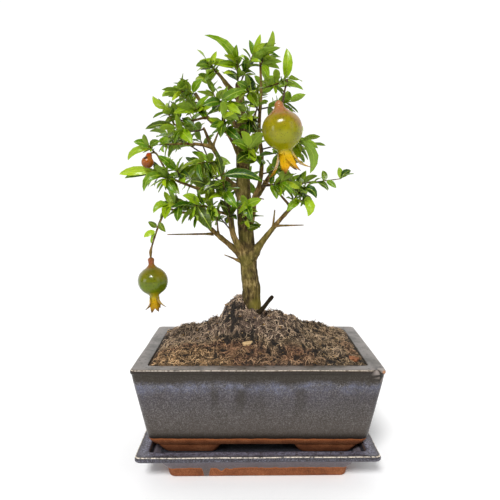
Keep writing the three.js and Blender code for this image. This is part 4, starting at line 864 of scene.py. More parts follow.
axes = {name: through_points(route, max(6, int(sum(
    math.dist(a[:3], b[:3]) for a, b in zip(route, route[1:])) / 1.7))) for name, route in LIMBS.items()}
points, faces, girths, ridges, dead, first = [], [[], []], [], [], [], 0
for seed, (name, axis) in enumerate(axes.items()):
    others = np.vstack([line for other, line in axes.items() if other != name])
    away = np.linalg.norm(others[:, :3] - axis[0, :3], axis=1)
    parent = others[np.argmin(away - others[:, 3]), 3] if name != "trunk" else 0
    run = np.concatenate([[0], np.cumsum(np.linalg.norm(np.diff(axis[:, :3], axis=0), axis=1))])
    collar = 0 if name == "trunk" else 0.55 * np.exp(
        -np.clip(run - parent, 0, None) / (1.1 * axis[0, 3]))
    knots = 0 if name == "trunk" else 0.1 * np.clip(np.sin(run / 2.4 + seed), 0, 1) ** 4
    radius = axis[:, 3] * (1 + collar + knots)
    sides = 44 if name == "trunk" else 18 if axis[:, 3].max() > 1.8 else 12
    rings, ridge, girth = stem(axis[:, :3], radius, sides, 0.07 * (name == "trunk"), seed * 3.7)
    body, (quads, fans) = lofted(rings)
    points.append(body)
    faces[0].append(quads + first)
    faces[1].append(fans + first)
    girths.append(with_ends(girth))
    ridges.append(with_ends(ridge))
    dead.append(np.full(len(body), 0.96 * (name == "root_stub") + 0.4 * (name == "cs_stub")))
    first += len(body)

material, tree, shader, place = new_material("pomegranate_bark", Roughness=0.85,
                                             Specular_IOR_Level=0.15)
girth, ridge, shaded, mossy, stub = (
    add_node(tree, "Attribute", attribute_name=pattern).outputs["Fac"]
    for pattern in ("girth", "ridge", "shaded", "mossy", "dead"))
# Flecks of 2-4 mm and a grain of 0.5 mm, both drawn out along the stem.
tall = add_node(tree, "Mapping", {"Vector": place, "Scale": (1, 1, 0.35)})
fleck = add_node(tree, "TexNoise", {"Vector": tall.outputs[0], "Scale": 330, "Detail": 5,
                                    "Roughness": 0.65})
patch = add_node(tree, "TexNoise", {"Vector": place, "Scale": 75, "Detail": 3})
grain = add_node(tree, "TexNoise", {"Vector": tall.outputs[0], "Scale": 1700, "Detail": 3})
old = add_node(tree, "ValToRGB", {0: fleck.outputs[0]}, [
    (0.34, "#211a0e"), (0.45, "#4c3f24"), (0.55, "#6b5b33"), (0.68, "#a08c5c")])
young = add_node(tree, "ValToRGB", {0: fleck.outputs[0]}, [
    (0.3, "#3b2c16"), (0.5, "#715730"), (0.7, "#a58a52")])
age = add_node(tree, "MapRange", {"Value": girth, 1: 1.6, 2: 5.5})
colour = add_node(tree, "Mix", {0: age.outputs[0], 6: young.outputs[0], 7: old.outputs[0]},
                  data_type="RGBA").outputs[2]
olive = add_node(tree, "MapRange", {"Value": patch.outputs[0], 1: 0.45, 2: 0.62, 4: 0.45})
deep = add_node(tree, "MapRange", {"Value": ridge, 1: -0.2, 2: -1.1, 4: 0.85})
# Over olive patches, the trunk's foot is dark on its left and mossy yellow on its right; dead
# stubs are near black, and so are the furrows.
for share, tone in ((olive.outputs[0], "#6f6a2c"), (shaded, "#1d150c"), (mossy, "#84792c"),
                    (stub, "#1a120b"), (deep.outputs[0], "#241b10")):
    colour = add_node(tree, "Mix", {0: share, 6: colour, 7: linear(tone)},
                      data_type="RGBA").outputs[2]
tree.links.new(colour, shader.inputs["Base Color"])
both = add_node(tree, "Math", {0: fleck.outputs[0], 1: grain.outputs[0]}, operation="ADD")
bump = add_node(tree, "Bump", {"Height": both.outputs[0], "Strength": 0.8, "Distance": 0.0006})
tree.links.new(bump.outputs[0], shader.inputs["Normal"])
points = np.vstack(points)
foot = np.clip((186 - points[:, 2]) / 24, 0, 1)
side = points[:, 0] + 6 + 3 * noise3(points, 6, 41)
wood_values = {
    "girth": np.concatenate(girths), "ridge": np.concatenate(ridges), "dead": np.concatenate(dead),
    "shaded": foot * np.clip(-side / 5, 0, 1) * 0.75, "mossy": foot * np.clip(side / 5, 0, 1) * 0.6,
}
wood = new_piece("tree_wood_bark", points, [np.vstack(f) for f in faces], [material], wood_values,
                 sharp=60)
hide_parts("tree_wood")
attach(wood, "root")


# ---- Shoots -------------------------------------------------------------------------------
# This year's twigs, green to red-brown, each with its leaves. They are leathery and glossy,
# most of them 12-25 mm long and a few up to 46 mm, pointed at both ends and folded up a little
# along a pale midrib.

# Each spray: its name, the start, bend and end of its twig, how many leaves its rule gives it,
# their usual length, and its named leaves as [place along the twig, tip, width, arch].
SPRAYS = [
    ["top_shoot", [[-20, 2, 405], [-12, -4, 421], [-4, -7, 438]], 6, 18, [
        [0.91, [-9, -5, 452], 6, 1], [0.96, [3, -12, 456], 6, 2], [0.99, [8, -14, 445], 6, 1],
        [0.82, [20, -10, 447], 8, 3], [0.7, [24, -19, 439], 9, 3],
    ]],
    ["top_left_shoot", [[-20, 2, 403], [-22, -4, 414], [-22, -10, 430]], 5, 22, [
        [0.8, [-56, -22, 452], 10, 8], [0.87, [-37, -14, 443], 7, 2], [0.93, [-22, -13, 445], 6, 1],
        [0.8, [-42, -24, 423], 6, 2], [0.74, [-62, -11, 429], 8, 3],
    ]],
    ["right_tip_shoot", [[3, -4, 424], [6, -6, 431], [10, -10, 438]], 6, 20, [
        [0.2, [26, -13, 427], 6, 2], [0.2, [24, -3, 422], 6, 2], [0.2, [12, -17, 408], 6, 2],
    ]],
    ["fruit_twig_shoot", [[4, -2, 402], [18, -14, 402], [31, -30, 406]], 5, 20, [
        [0.2, [36, -9, 403], 7, 2], [0.9, [30, -25, 438], 10, 3], [0.7, [49, -13, 398], 8, 2],
    ]],
    ["upper_left_shoot", [[-38, -5, 412], [-46, -10, 419], [-53, -16, 426]], 6, 15, [
        [0.2, [-33, -17, 422], 7, 1], [0.66, [-65, -20, 421], 8, 3],
    ]],
    ["pruned_left_shoot", [[-65, -14, 393], [-72, -18, 394], [-82, -22, 396]], 5, 20, [
        [0.77, [-79, -26, 406], 10, 1], [0.82, [-99, -31, 388], 7, 6],
        [0.24, [-57, -20, 408], 9, 2],
    ]],
    ["far_left_shoot", [[-76, -15, 364], [-86, -20, 366], [-96, -24, 378]], 5, 22, [
        [0.97, [-109, -30, 389], 8, 2], [0.39, [-89, -27, 382], 8, 2],
    ]],
    ["lime_shoot", [[-56, -11, 374], [-62, -16, 375], [-67, -22, 378]], 4, 18, [
        [0.66, [-74, -24, 386], 7, 2], [0.69, [-51, -26, 389], 7, 2], [0.52, [-45, -26, 381], 8, 2],
        [0.45, [-88, -30, 371], 9, 3],
    ]],
    ["left_isolated_shoot", [[-57, -22, 356], [-69, -24, 351], [-85, -32, 355]], 6, 22, [
        [1, [-116, -38, 354], 8, 5], [0.87, [-67, -42, 339], 11, 2],
    ]],
    ["bud_shoot", [[-107, -40, 331], [-109, -44, 334], [-111, -47, 337]], 3, 15, [
        [0.73, [-126, -49, 340], 8, 2], [0.47, [-134, -40, 322], 7, 7],
        [0.73, [-101, -41, 342], 7, 1],
    ]],
    ["far_left_tip_shoot", [[-93, -37, 309], [-100, -40, 307], [-107, -40, 311]], 4, 19, [
        [1, [-144, -38, 308], 9, 4], [0.8, [-140, -32, 304], 8, 3], [0.37, [-109, -31, 322], 7, 1],
    ]],
    ["hooked_shoot", [[-89, -35, 305], [-93, -42, 300], [-94, -46, 305]], 4, 20, [
        [0.98, [-116, -52, 290], 9, 9], [0.56, [-83, -48, 288], 9, 2],
    ]],
    ["left_twig_end_shoot", [[-91, -33, 339], [-97, -37, 339], [-101, -40, 338]], 3, 16, [
        [0.85, [-91, -45, 345], 7, 2],
    ]],
    ["left_middle_shoot", [[-76, -30, 298], [-81, -36, 306], [-84, -42, 314]], 5, 21, [
        [0.87, [-102, -46, 327], 9, 2], [0.65, [-70, -46, 304], 8, 2],
    ]],
    ["centre_left_shoot", [[-40, -16, 318], [-48, -28, 323], [-62, -40, 319]], 6, 22, [
        [0.36, [-28, -37, 319], 10, 3], [0.69, [-78, -39, 309], 9, 4],
        [0.53, [-42, -43, 306], 9, 2],
    ]],
    ["bright_shoot", [[-36, -15, 292], [-42, -26, 294], [-52, -38, 295]], 5, 22, [
        [0.94, [-70, -43, 301], 11, 3], [0.79, [-27, -47, 297], 9, 2],
        [0.68, [-54, -42, 279], 9, 2],
    ]],
    ["front_hero_shoot", [[-27, -12, 247], [-31, -34, 276], [-37, -48, 306]], 6, 22, [
        [1, [5, -52, 300], 11, 5], [0.76, [-21, -51, 274], 10, 3], [0.86, [-56, -50, 290], 9, 3],
    ]],
    ["big_dark_shoot", [[-42, -19, 269], [-55, -30, 277], [-66, -42, 275]], 6, 24, [
        [0.87, [-48, -47, 251], 13, 3], [0.45, [-41, -41, 264], 9, 2],
        [0.79, [-78, -43, 286], 9, 3],
    ]],
    ["hanging_shoot", [[-66, -21, 263], [-80, -28, 277], [-94, -36, 277]], 7, 22, [
        [0.87, [-95, -40, 262], 9, 3], [0.61, [-84, -40, 259], 9, 3], [1, [-108, -44, 268], 8, 4],
    ]],
    ["fruit_branchlet_shoot", [[-96, -34, 272], [-102, -40, 263], [-106, -44, 248]], 3, 15, [
        [0.84, [-114, -47, 259], 6, 1], [0.98, [-118, -50, 243], 6, 2],
        [0.61, [-94, -47, 249], 6, 1],
    ]],
    ["loop_shoot", [[-12, 0, 241], [-13, -24, 260], [-12, -38, 275]], 5, 18, [
        [1, [-20, -46, 267], 9, 10], [0.94, [-6, -48, 259], 10, 6], [1, [4, -42, 282], 9, 3],
    ]],
    ["centre_high_shoot", [[-18, 3, 367], [-29, -20, 374], [-39, -38, 383]], 6, 22, [
        [0.95, [-12, -44, 393], 10, 3], [0.85, [-17, -46, 368], 9, 2],
        [0.92, [-56, -43, 377], 9, 3],
    ]],
    ["broad_pair_shoot", [[3, -1, 376], [-6, -14, 385], [-11, -26, 398]], 5, 22, [
        [0.85, [0, -34, 377], 11, 2], [0.66, [-13, -22, 413], 11, 3], [0.99, [-22, -34, 402], 8, 2],
    ]],
    ["centre_mid_shoot", [[-30, -16, 349], [-33, -30, 356], [-36, -44, 365]], 6, 20, [
        [0.69, [-49, -43, 356], 8, 2], [0.5, [-16, -42, 341], 9, 3], [0.93, [-19, -52, 361], 9, 3],
    ]],
    ["narrow_pair_shoot", [[3, -1, 348], [-6, -20, 359], [-11, -34, 372]], 5, 22, [
        [0.92, [0, -42, 352], 7, 2], [0.79, [-9, -40, 347], 7, 2], [1, [-26, -40, 377], 8, 2],
    ]],
    ["broad_centre_shoot", [[5, -5, 319], [-4, -24, 326], [-10, -42, 335]], 6, 24, [
        [0.89, [5, -46, 349], 12, 3], [0.64, [-22, -43, 320], 10, 3],
        [0.83, [-27, -44, 340], 10, 3],
    ]],
    ["right_hang_shoot", [[4, -3, 336], [26, -16, 341], [46, -26, 343]], 6, 22, [
        [0.99, [55, -30, 309], 10, 9], [0.87, [65, -19, 336], 8, 3], [0.67, [44, -31, 325], 9, 3],
    ]],
    ["right_long_shoot", [[2, -10, 296], [47, -8, 298], [90, -14, 304]], 6, 14, [
        [0.99, [87, -18, 316], 6, 2], [1, [102, -10, 313], 7, 2], [0.82, [85, -18, 294], 6, 1],
        [0.71, [76, -19, 291], 6, 2], [0.78, [71, -8, 313], 7, 2], [0.54, [65, -18, 307], 6, 2],
    ]],
    ["right_low_shoot", [[36, -17, 274], [41, -22, 288], [51, -28, 295]], 5, 20, [
        [0.86, [62, -32, 283], 8, 6], [0.74, [31, -33, 299], 8, 3],
    ]],
    ["knob_droop_shoot", [[40, -18, 276], [46, -22, 281], [49, -28, 281]], 3, 17, [
        [1, [53, -34, 264], 10, 6], [0.59, [31, -31, 269], 8, 3],
    ]],
    ["dark_right_shoot", [[11, -26, 298], [17, -30, 296], [27, -36, 301]], 6, 20, [
        [0.2, [20, -36, 282], 8, 2], [0.92, [33, -39, 312], 9, 2], [0.81, [37, -42, 289], 8, 3],
    ]],
    ["behind_calyx_shoot", [[3, -7, 309], [16, 2, 312], [30, 6, 316]], 6, 22, [
        [0.67, [22, -1, 331], 11, 2],
    ]],
    ["back_right_high", [[22, 34, 318], [26, 48, 348], [32, 54, 370]], 7, 21, []],
    ["back_right_mid", [[40, 50, 334], [46, 58, 342], [48, 62, 354]], 7, 20, []],
    ["back_right_low", [[11, 23, 302], [34, 44, 298], [58, 54, 300]], 7, 24, []],
    ["back_left_low", [[-40, 28, 310], [-62, 50, 304], [-86, 54, 306]], 7, 24, []],
    ["back_left_mid", [[-66, 46, 336], [-86, 52, 350], [-104, 44, 356]], 7, 24, []],
    ["back_left_high", [[-56, 39, 326], [-70, 52, 358], [-80, 50, 384]], 7, 24, []],
    ["back_top", [[-2, 42, 380], [4, 54, 400], [9, 49, 421]], 7, 22, []],
    ["back_top_left", [[-44, 28, 388], [-52, 40, 404], [-56, 40, 424]], 7, 22, []],
    ["back_centre", [[-12, 24, 352], [-14, 48, 362], [-22, 68, 378]], 7, 24, []],
    ["back_deep_low", [[-32, 20, 302], [-18, 48, 296], [-10, 72, 306]], 7, 24, []],
    ["side_left_up", [[-61, -13, 384], [-74, 0, 388], [-85, 8, 396]], 7, 19, []],
    ["side_left_mid", [[-74, -28, 340], [-84, -4, 346], [-100, 8, 352]], 7, 22, []],
    ["side_right_up", [[3, -1, 380], [20, 10, 384], [36, 16, 392]], 7, 19, []],
    ["side_right_mid", [[5, -3, 330], [30, 14, 334], [54, 18, 342]], 7, 22, []],
    ["inner_left", [[-37, -15, 301], [-52, 2, 306], [-66, 10, 318]], 7, 22, []],
    ["inner_low_left", [[-26, -12, 244], [-42, 10, 262], [-58, 22, 276]], 7, 22, []],
]
CROWN_AXIS = np.array([-20, 5, 300])
# Small leaves that fill in each spray, and those of the sprays that are nearly bare.
EXTRA = 11
SPARSE = {"fruit_branchlet_shoot": 0, "right_long_shoot": 1, "left_twig_end_shoot": 4,
          "bud_shoot": 4, "far_left_tip_shoot": 5}
# Along a blade: the places of its rings, their breadth and thickness as parts of the whole.
LEAF_PLACES = np.array([0, 0.07, 0.17, 0.33, 0.53, 0.73, 0.89])
LEAF_BREADTH = np.array([0.1, 0.14, 0.66, 1.0, 1.04, 0.8, 0.42])
LEAF_THICK = np.array([0.7, 0.55, 0.5, 0.45, 0.4, 0.34, 0.28])
TWIG_RINGS, TWIG_SIDES = 12, 8


def bent(start, bend, end, t):
    """Point at t of the quadratic curve with those three control points."""
    return (1 - t) ** 2 * start + 2 * t * (1 - t) * bend + t**2 * end


def draw(a, b, c):
    """A draw from 0 to 1 that depends only on its three numbers."""
    value = math.sin(a * 12.9898 + b * 78.233 + c * 37.719) * 43758.5453
    return value - math.floor(value)


def unit(v):
    """The vector or vectors v, each at length 1."""
    return v / np.linalg.norm(v, axis=-1, keepdims=True)


def leaf_pose(spray, seed, index, pose):
    """Base, tip, up, width, arch and turn of one leaf. A named leaf leans forward or back with
    its pose; any other stands off the twig at a drawn angle, two by two, and turns with its
    pose. A named leaf stands free, so it has turned most of the way to face forward."""
    _, route, count, usual, named = spray
    start, bend, end = np.array(route, float)
    jitter = np.array([draw(seed, index, k) - 0.5 for k in (1, 2, 3)])
    if index < len(named):
        place, tip, width, arch = named[index]
        base = bent(start, bend, end, place)
        tip = np.array(tip, float)
        tip[1] += (4 if pose % 2 == 0 else -4) * math.ceil(pose / 2)
    else:
        extra = index >= 100
        order = index - (100 if extra else len(named))
        last = not extra and order == count - 1
        count = EXTRA if extra else count
        place = 1 if last else 0.22 + 0.74 * (order + draw(seed, index, 4)) / count
        base = bent(start, bend, end, place)
        along = unit((1 - place) * (bend - start) + place * (end - bend))
        level = unit(np.array([along[1], -along[0], 0.001]))
        upright = np.cross(level, along)
        around = (order % 2) * math.pi + 1.9 * (order // 2) + 1.2 * draw(seed, index, 5) + 0.9 * pose
        open_by = 0.25 if last else 0.75 + 0.55 * draw(seed, index, 6)
        way = along * math.cos(open_by) + math.sin(open_by) * (
            level * math.cos(around) + upright * math.sin(around))
        way[2] -= 0.25 * draw(seed, index, 7)
        reach = usual * (0.62 + 0.62 * draw(seed, index, 8)) * (1 - 0.06 * pose)
        reach *= 0.88 if extra else 1
        tip = base + unit(way) * reach
        width = reach * (0.33 + 0.1 * draw(seed, index, 9)) * (0.85 if extra else 1)
        arch = reach * (0.03 + 0.11 * draw(seed, index, 10))
    out = (base - CROWN_AXIS) * [1, 1, 0]
    up = 0.55 * unit(out) + [0, 0, 0.75] + 1.1 * jitter
    return [*base, *tip, *up, width, arch, 0.8 * (index < len(named))]


def blades(leaves, draws, breadth, thick, fold, places=LEAF_PLACES):
    """Closed blades along quadratic curves that bow by their arch. Each ring has five points
    over the top, margins raised by the fold, and one under the midrib; the last point is the
    tip. Draws (n, 6) bend, twist and wave each blade a little."""
    base, tip, up = leaves[:, :3], leaves[:, 3:6], leaves[:, 6:9]
    width, arch = leaves[:, 9:10], leaves[:, 10:11]
    along = unit(tip - base)
    across = unit(np.cross(along, up))
    rise = np.cross(across, along)
    sabre = 0.35 * width * (draws[:, :1] - 0.5)
    middle = (base + tip) / 2 + rise * 2 * arch + across * sabre
    t = places[:, None]
    centre = bent(base[:, None], middle[:, None], tip[:, None], t)
    way = unit((1 - t) * (middle - base)[:, None] + t * (tip - middle)[:, None])
    side = unit(across[:, None] - way * np.einsum("nki,ni->nk", way, across)[..., None])
    normal = np.cross(side, way)
    # Rolled about its midrib towards the front, by its share of the way, and twisted a little.
    side_y, face_y = side[:, 3:4, 1], normal[:, 3:4, 1]
    roll = -np.arctan2(side_y * np.where(face_y < 0, -1, 1), np.abs(face_y))
    twist = (draws[:, 1:2] - 0.5) * 1.1 * places + roll * leaves[:, 11:12]
    cos, sin = np.cos(twist)[..., None], np.sin(twist)[..., None]
    side, normal = side * cos + normal * sin, normal * cos - side * sin
    half = (width / 2 * breadth)[..., None]
    fold = (fold[0] + fold[1] * draws[:, 2:3])[..., None]
    wave = 0.13 * np.sin(9 * places + 6.3 * draws[:, 3:4])[..., None]
    rows = []
    for share, lift in ((-1, 1), (-0.52, 0.62), (0, 0), (0.52, 0.62), (1, 1)):
        ripple = wave * share * abs(share)
        rows.append(centre + side * half * share + normal * half * (fold * lift + ripple))
    depth = thick * np.ones((len(leaves), 1))
    rows.append(centre - normal * depth[..., None])
    points = np.stack(rows, 2).reshape(len(leaves), -1, 3)
    points = np.concatenate([points, tip[:, None]], 1)
    rings = len(places)
    # Seen along the blade with its top up, the five top points run from left to right.
    j, k = np.arange(6), (np.arange(6) + 1) % 6
    low = (np.arange(rings - 1) * 6)[:, None]
    quads = np.stack([low + j, low + k, low + 6 + k, low + 6 + j], -1).reshape(-1, 4)
    last = (rings - 1) * 6
    point = np.stack([last + j, last + k, np.full(6, rings * 6)], -1)
    root = np.arange(6)[None, ::-1]
    first = (np.arange(len(leaves)) * (rings * 6 + 1))[:, None, None]
    under = np.tile([0, 0, 0, 0, 1, 1], (len(leaves), rings)).astype(float)
    cap = np.ones((len(leaves), 1))
    faces = [(quads + first).reshape(-1, 4), (point + first).reshape(-1, 3),
             (root + first).reshape(-1, 6)]
    under = np.concatenate([under[:, :-6].ravel(), under[:, -6:].ravel(), cap.ravel()])
    values = {
        "along": np.tile(np.append(np.repeat(places, 6), 1), len(leaves)),
        "across": np.tile(np.append(np.tile([-1, -0.52, 0, 0.52, 1, 0], rings), 0), len(leaves)),
    }
    return points, faces, values, under


leaf, tree, shader, place = new_material(
    "pomegranate_leaf", Roughness=0.25, IOR=1.45, Specular_IOR_Level=0.32, Subsurface_Weight=0.1,
    Subsurface_Radius=(0.6, 1, 0.05), Subsurface_Scale=0.0015)
tone, age, along, across, under = (
    add_node(tree, "Attribute", attribute_name=name).outputs["Fac"]
    for name in ("tone", "age", "along", "across", "under"))
cloud = add_node(tree, "TexNoise", {"Vector": place, "Scale": 260, "Detail": 3}).outputs[0]
mixed = add_node(tree, "Math", {0: cloud, 1: 0.35, 2: tone}, operation="MULTIPLY_ADD").outputs[0]
green = add_node(tree, "ValToRGB", {0: mixed}, [
    (0.1, "#061302"), (0.42, "#234402"), (0.7, "#4c7405"), (1, "#92ad18")])
# The midrib, about a sixteenth of the breadth, and eight pairs of side veins.
off = add_node(tree, "Math", {0: across}, operation="ABSOLUTE").outputs[0]
rib = add_node(tree, "MapRange", {"Value": off, 1: 0.12, 2: 0.03, 4: 0.75}).outputs[0]
slant = add_node(tree, "Math", {0: off, 1: -0.13, 2: along}, operation="MULTIPLY_ADD").outputs[0]
beat = add_node(tree, "Math", {0: slant, 1: 9}, operation="MULTIPLY").outputs[0]
phase = add_node(tree, "Math", {0: beat, 1: 1, 2: 0}, operation="WRAP").outputs[0]
vein = add_node(tree, "MapRange", {"Value": phase, 1: 0.13, 2: 0.02, 4: 0.22}).outputs[0]
lines = add_node(tree, "Math", {0: rib, 1: vein}, operation="MAXIMUM").outputs[0]
margin = add_node(tree, "MapRange", {"Value": off, 1: 0.9, 2: 1, 4: 0.3}).outputs[0]
back = add_node(tree, "Math", {0: under, 1: 0.6}, operation="MULTIPLY").outputs[0]
colour = green.outputs[0]
for part, tone in ((age, "#a9ba1c"), (lines, "#9fb03c"), (margin, "#a8a23a"), (back, "#86a034")):
    colour = add_node(tree, "Mix", {0: part, 6: colour, 7: linear(tone)},
                      data_type="RGBA").outputs[2]
tree.links.new(colour, shader.inputs["Base Color"])
rough = add_node(tree, "MapRange", {"Value": under, 3: 0.25, 4: 0.6})
tree.links.new(rough.outputs[0], shader.inputs["Roughness"])
bump = add_node(tree, "Bump", {"Height": lines, "Strength": 0.5, "Distance": 0.0003})
tree.links.new(bump.outputs[0], shader.inputs["Normal"])

twig_bark, tree, shader, place = new_material("young_twig_bark", Roughness=0.55,
                                             Specular_IOR_Level=0.25)
along = add_node(tree, "Attribute", attribute_name="along").outputs["Fac"]
streak = add_node(tree, "TexNoise", {"Vector": place, "Scale": 420, "Detail": 4})
colour = add_node(tree, "ValToRGB", {0: along}, [
    (0, "#57452a"), (0.45, "#573820"), (0.8, "#643f22"), (1, "#7a6a2c")])
shade = add_node(tree, "ValToRGB", {0: streak.outputs[0]}, [(0.35, "#7a6a60"), (0.6, "#ffffff")])
colour = add_node(tree, "Mix", {0: 1.0, 6: colour.outputs[0], 7: shade.outputs[0]},
                  data_type="RGBA", blend_type="MULTIPLY")
tree.links.new(colour.outputs[2], shader.inputs["Base Color"])

for number, spray in enumerate(SPRAYS):
    name, route, count, usual, named = spray
    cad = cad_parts[name].data
    corners = np.empty(len(cad.vertices) * 3, np.float32)
    cad.vertices.foreach_get("co", corners)
    corners = corners.reshape(-1, 3) * 1000.0 - CENTRE
    placed, kinds = [], []
    # A leaf stands in the pose whose tip the solid has; one that found no room isn't there.
    for index in range(len(named) + count):
        for pose in range(10):
            found = leaf_pose(spray, number + 1, index, pose)
            if np.linalg.norm(corners - found[3:6], axis=1).min() < 0.02:
                placed.append(found)
                kinds.append(index)
                break
    for index in range(100, 100 + SPARSE.get(name, EXTRA)):
        placed.append(leaf_pose(spray, number + 1, index, 0))
        kinds.append(index)
    draws = np.array([[draw(number + 1, index, k) for k in range(20, 28)] for index in kinds])
    points, faces, values, under = blades(np.array(placed), draws, LEAF_BREADTH, LEAF_THICK,
                                          (0.1, 0.42))
    each = points.shape[1]
    # Painted light: leaves higher in the crown are made a little lighter, as if lit from above.
    high = np.clip((points.reshape(-1, 3)[:, 2] - 300) / 220, -0.3, 0.45)
    # The leaves inside the crown are darker, partly as older leaves and partly as painted shade, and
    # those at its outside pale.
    outer = np.linalg.norm((np.array(placed)[:, 3:6] - [-20, -10, 315]) / [110, 70, 130], axis=1)
    own = -0.08 + 0.86 * draws[:, 4] + 0.36 * (np.clip(outer, 0.2, 1) - 0.6)
    values["tone"] = np.repeat(own, each) + 0.1 * high
    young = np.where(np.array(kinds) >= 100, 0.35, 0.12) * draws[:, 5] ** 2 * 2
    values["age"] = np.repeat(np.clip(young, 0, 0.8), each)
    start, bend, end = np.array(route, float)
    t = np.linspace(0, 1, TWIG_RINGS)[:, None]
    axis = bent(start, bend, end, t)
    radius = np.interp(t[:, 0], [0, 0.15, 1], [1.15, 0.85, 0.5])
    radius = radius * (1 + 0.12 * np.cos(t[:, 0] * 40))
    twig_points, twig_faces = tubes(axis[None], radius[None], TWIG_SIDES)
    leaf_points = points.reshape(-1, 3)
    all_faces = faces + [f + len(leaf_points) for f in twig_faces]
    indices = np.concatenate([np.zeros(sum(len(f) for f in faces)),
                              np.ones(sum(len(f) for f in twig_faces))])
    none = np.zeros(TWIG_RINGS * TWIG_SIDES)
    twig_values = {"along": np.repeat(t[:, 0], TWIG_SIDES), "across": none, "tone": none,
                   "age": none}
    values = {key: np.concatenate([values[key], twig_values[key]]) for key in twig_values}
    under = np.concatenate([under, np.zeros(sum(len(f) for f in twig_faces))])
    shoot = new_piece(name + "_leaves", np.vstack([leaf_points, twig_points]), all_faces,
                      [leaf, twig_bark], values, {"under": under}, indices, sharp=75)
    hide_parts(name)
    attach(shoot, "root")


# ---- Fruits -------------------------------------------------------------------------------
# Dwarf pomegranates, each hanging by its neck: leathery skin, yellow-green turning orange to
# the light, and a stiff crown of sepals below with dry dark tips. The young one is still an
# orange ball with the scar of a lost flower.

FRUITS = {
    "pomegranate_right": {
        "centre": (24.7, -46, 352.5), "radius": 20.2, "lean": (0, math.radians(-8)),
        "profile": [(0.02, -1.05), (0.2, -1.14), (0.34, -1.2), (0.38, -1.02), (0.5, -0.91),
                    (0.76, -0.68), (0.94, -0.36), (1, 0), (0.95, 0.35), (0.78, 0.65),
                    (0.55, 0.85), (0.37, 1), (0.25, 1.14), (0.21, 1.32), (0.1, 1.46)],
        "sepals": [(-2, 27, -42, 9.5, -4), (-50, 19, -44, 12.5, -2), (-115, 8, -45, 12.5, -1),
                   (172, 22, -48, 10, -3), (105, 15, -43, 12, -2), (50, 17, -42, 12, -3)],
        "sepal_root": (0.36, -0.98),
    },
    "pomegranate_left": {
        "centre": (-109.6, -46, 197.5), "radius": 15.6, "lean": (0, math.radians(-4)),
        "profile": [(0.02, -1.1), (0.16, -1.16), (0.27, -1.2), (0.3, -1.04), (0.44, -0.89),
                    (0.76, -0.64), (0.96, -0.28), (0.99, 0.12), (0.85, 0.5),
                    (0.6, 0.76), (0.34, 0.93), (0.2, 1.12), (0.21, 1.48), (0.1, 1.58)],
        "sepals": [(5, 12, -29, 8.2, -2), (-55, 8, -32, 8.6, -1), (-115, 7, -33, 8.6, -1),
                   (178, 11.5, -31, 8.2, -2), (118, 8, -31, 8.6, -1), (60, 8, -31, 8.6, -1)],
        "sepal_root": (0.29, -1.0),
    },
    "young_fruit": {
        "centre": (-112.5, -47, 320), "radius": 6.3, "lean": (-0.5, 0.12),
        "profile": [(0.05, -1.0), (0.3, -0.95), (0.75, -0.65), (0.98, -0.22), (0.97, 0.25),
                    (0.68, 0.72), (0.53, 1.1), (0.44, 1.5), (0.22, 1.68)],
        "sepals": [], "sepal_root": (0, 0),
    },
}
STALK = [[25, -45, 380, 1.3], [27, -40, 391, 1], [30.5, -30.5, 404.5, 1]]
SEPAL_PLACES = np.array([0, 0.14, 0.28, 0.42, 0.56, 0.7, 0.82, 0.92])
SEPAL_BREADTH = np.array([0.86, 0.98, 1.02, 1, 0.9, 0.7, 0.46, 0.25])
SEPAL_THICK = np.array([1.9, 1.8, 1.7, 1.5, 1.3, 1.1, 0.9, 0.7])


def fruit_material(name, stops, blush, spot, deep):
    """Fruit skin: colour by `height` from the crown's tips up to the neck, blush where the
    light falls, brown specks of 0.6-1.5 mm, and a waxy shine."""
    material, tree, shader, place = new_material(
        name, Roughness=0.25, IOR=1.45, Specular_IOR_Level=0.2, Coat_Weight=0.3,
        Coat_Roughness=0.1, Subsurface_Weight=0.05, Subsurface_Scale=0.002)
    height, sun, dry = (add_node(tree, "Attribute", attribute_name=pattern).outputs["Fac"]
                        for pattern in ("height", "sun", "dry"))
    cloud = add_node(tree, "TexNoise", {"Vector": place, "Scale": 110, "Detail": 4}).outputs[0]
    moved = add_node(tree, "Math", {0: cloud, 1: 0.16, 2: height}, operation="MULTIPLY_ADD")
    colour = add_node(tree, "ValToRGB", {0: moved.outputs[0]}, stops).outputs[0]
    lit = add_node(tree, "Math", {0: sun, 1: cloud}, operation="MULTIPLY").outputs[0]
    lit = add_node(tree, "MapRange", {"Value": lit, 1: 0.1, 2: 0.5, 4: 0.85}).outputs[0]
    # Blotches of deeper colour, 6-15 mm across.
    blotch = add_node(tree, "TexNoise", {"Vector": place, "Scale": 90, "Detail": 6, "Roughness": 0.7})
    blotch = add_node(tree, "MapRange", {"Value": blotch.outputs[0], 1: 0.46, 2: 0.64, 4: 0.55})
    body = add_node(tree, "MapRange", {"Value": height, 1: 0.3, 2: 0.55}).outputs[0]
    blotch = add_node(tree, "Math", {0: blotch.outputs[0], 1: body}, operation="MULTIPLY").outputs[0]
    specks = add_node(tree, "TexVoronoi", {"Vector": place, "Scale": 400, "Randomness": 1})
    speck = add_node(tree, "MapRange", {
        "Value": specks.outputs["Distance"], 1: 0.3, 2: 0.12, 4: 0.6}).outputs[0]
    for share, tone in ((lit, blush), (blotch, deep), (speck, spot), (dry, "#3a2012")):
        colour = add_node(tree, "Mix", {0: share, 6: colour, 7: linear(tone)},
                          data_type="RGBA").outputs[2]
    tree.links.new(colour, shader.inputs["Base Color"])
    rough = add_node(tree, "MapRange", {"Value": dry, 3: 0.2, 4: 0.8})
    tree.links.new(rough.outputs[0], shader.inputs["Roughness"])
    fine = add_node(tree, "TexNoise", {"Vector": place, "Scale": 900, "Detail": 2})
    bump = add_node(tree, "Bump", {"Height": fine.outputs[0], "Strength": 0.3, "Distance": 0.0003})
    tree.links.new(bump.outputs[0], shader.inputs["Normal"])
    return material


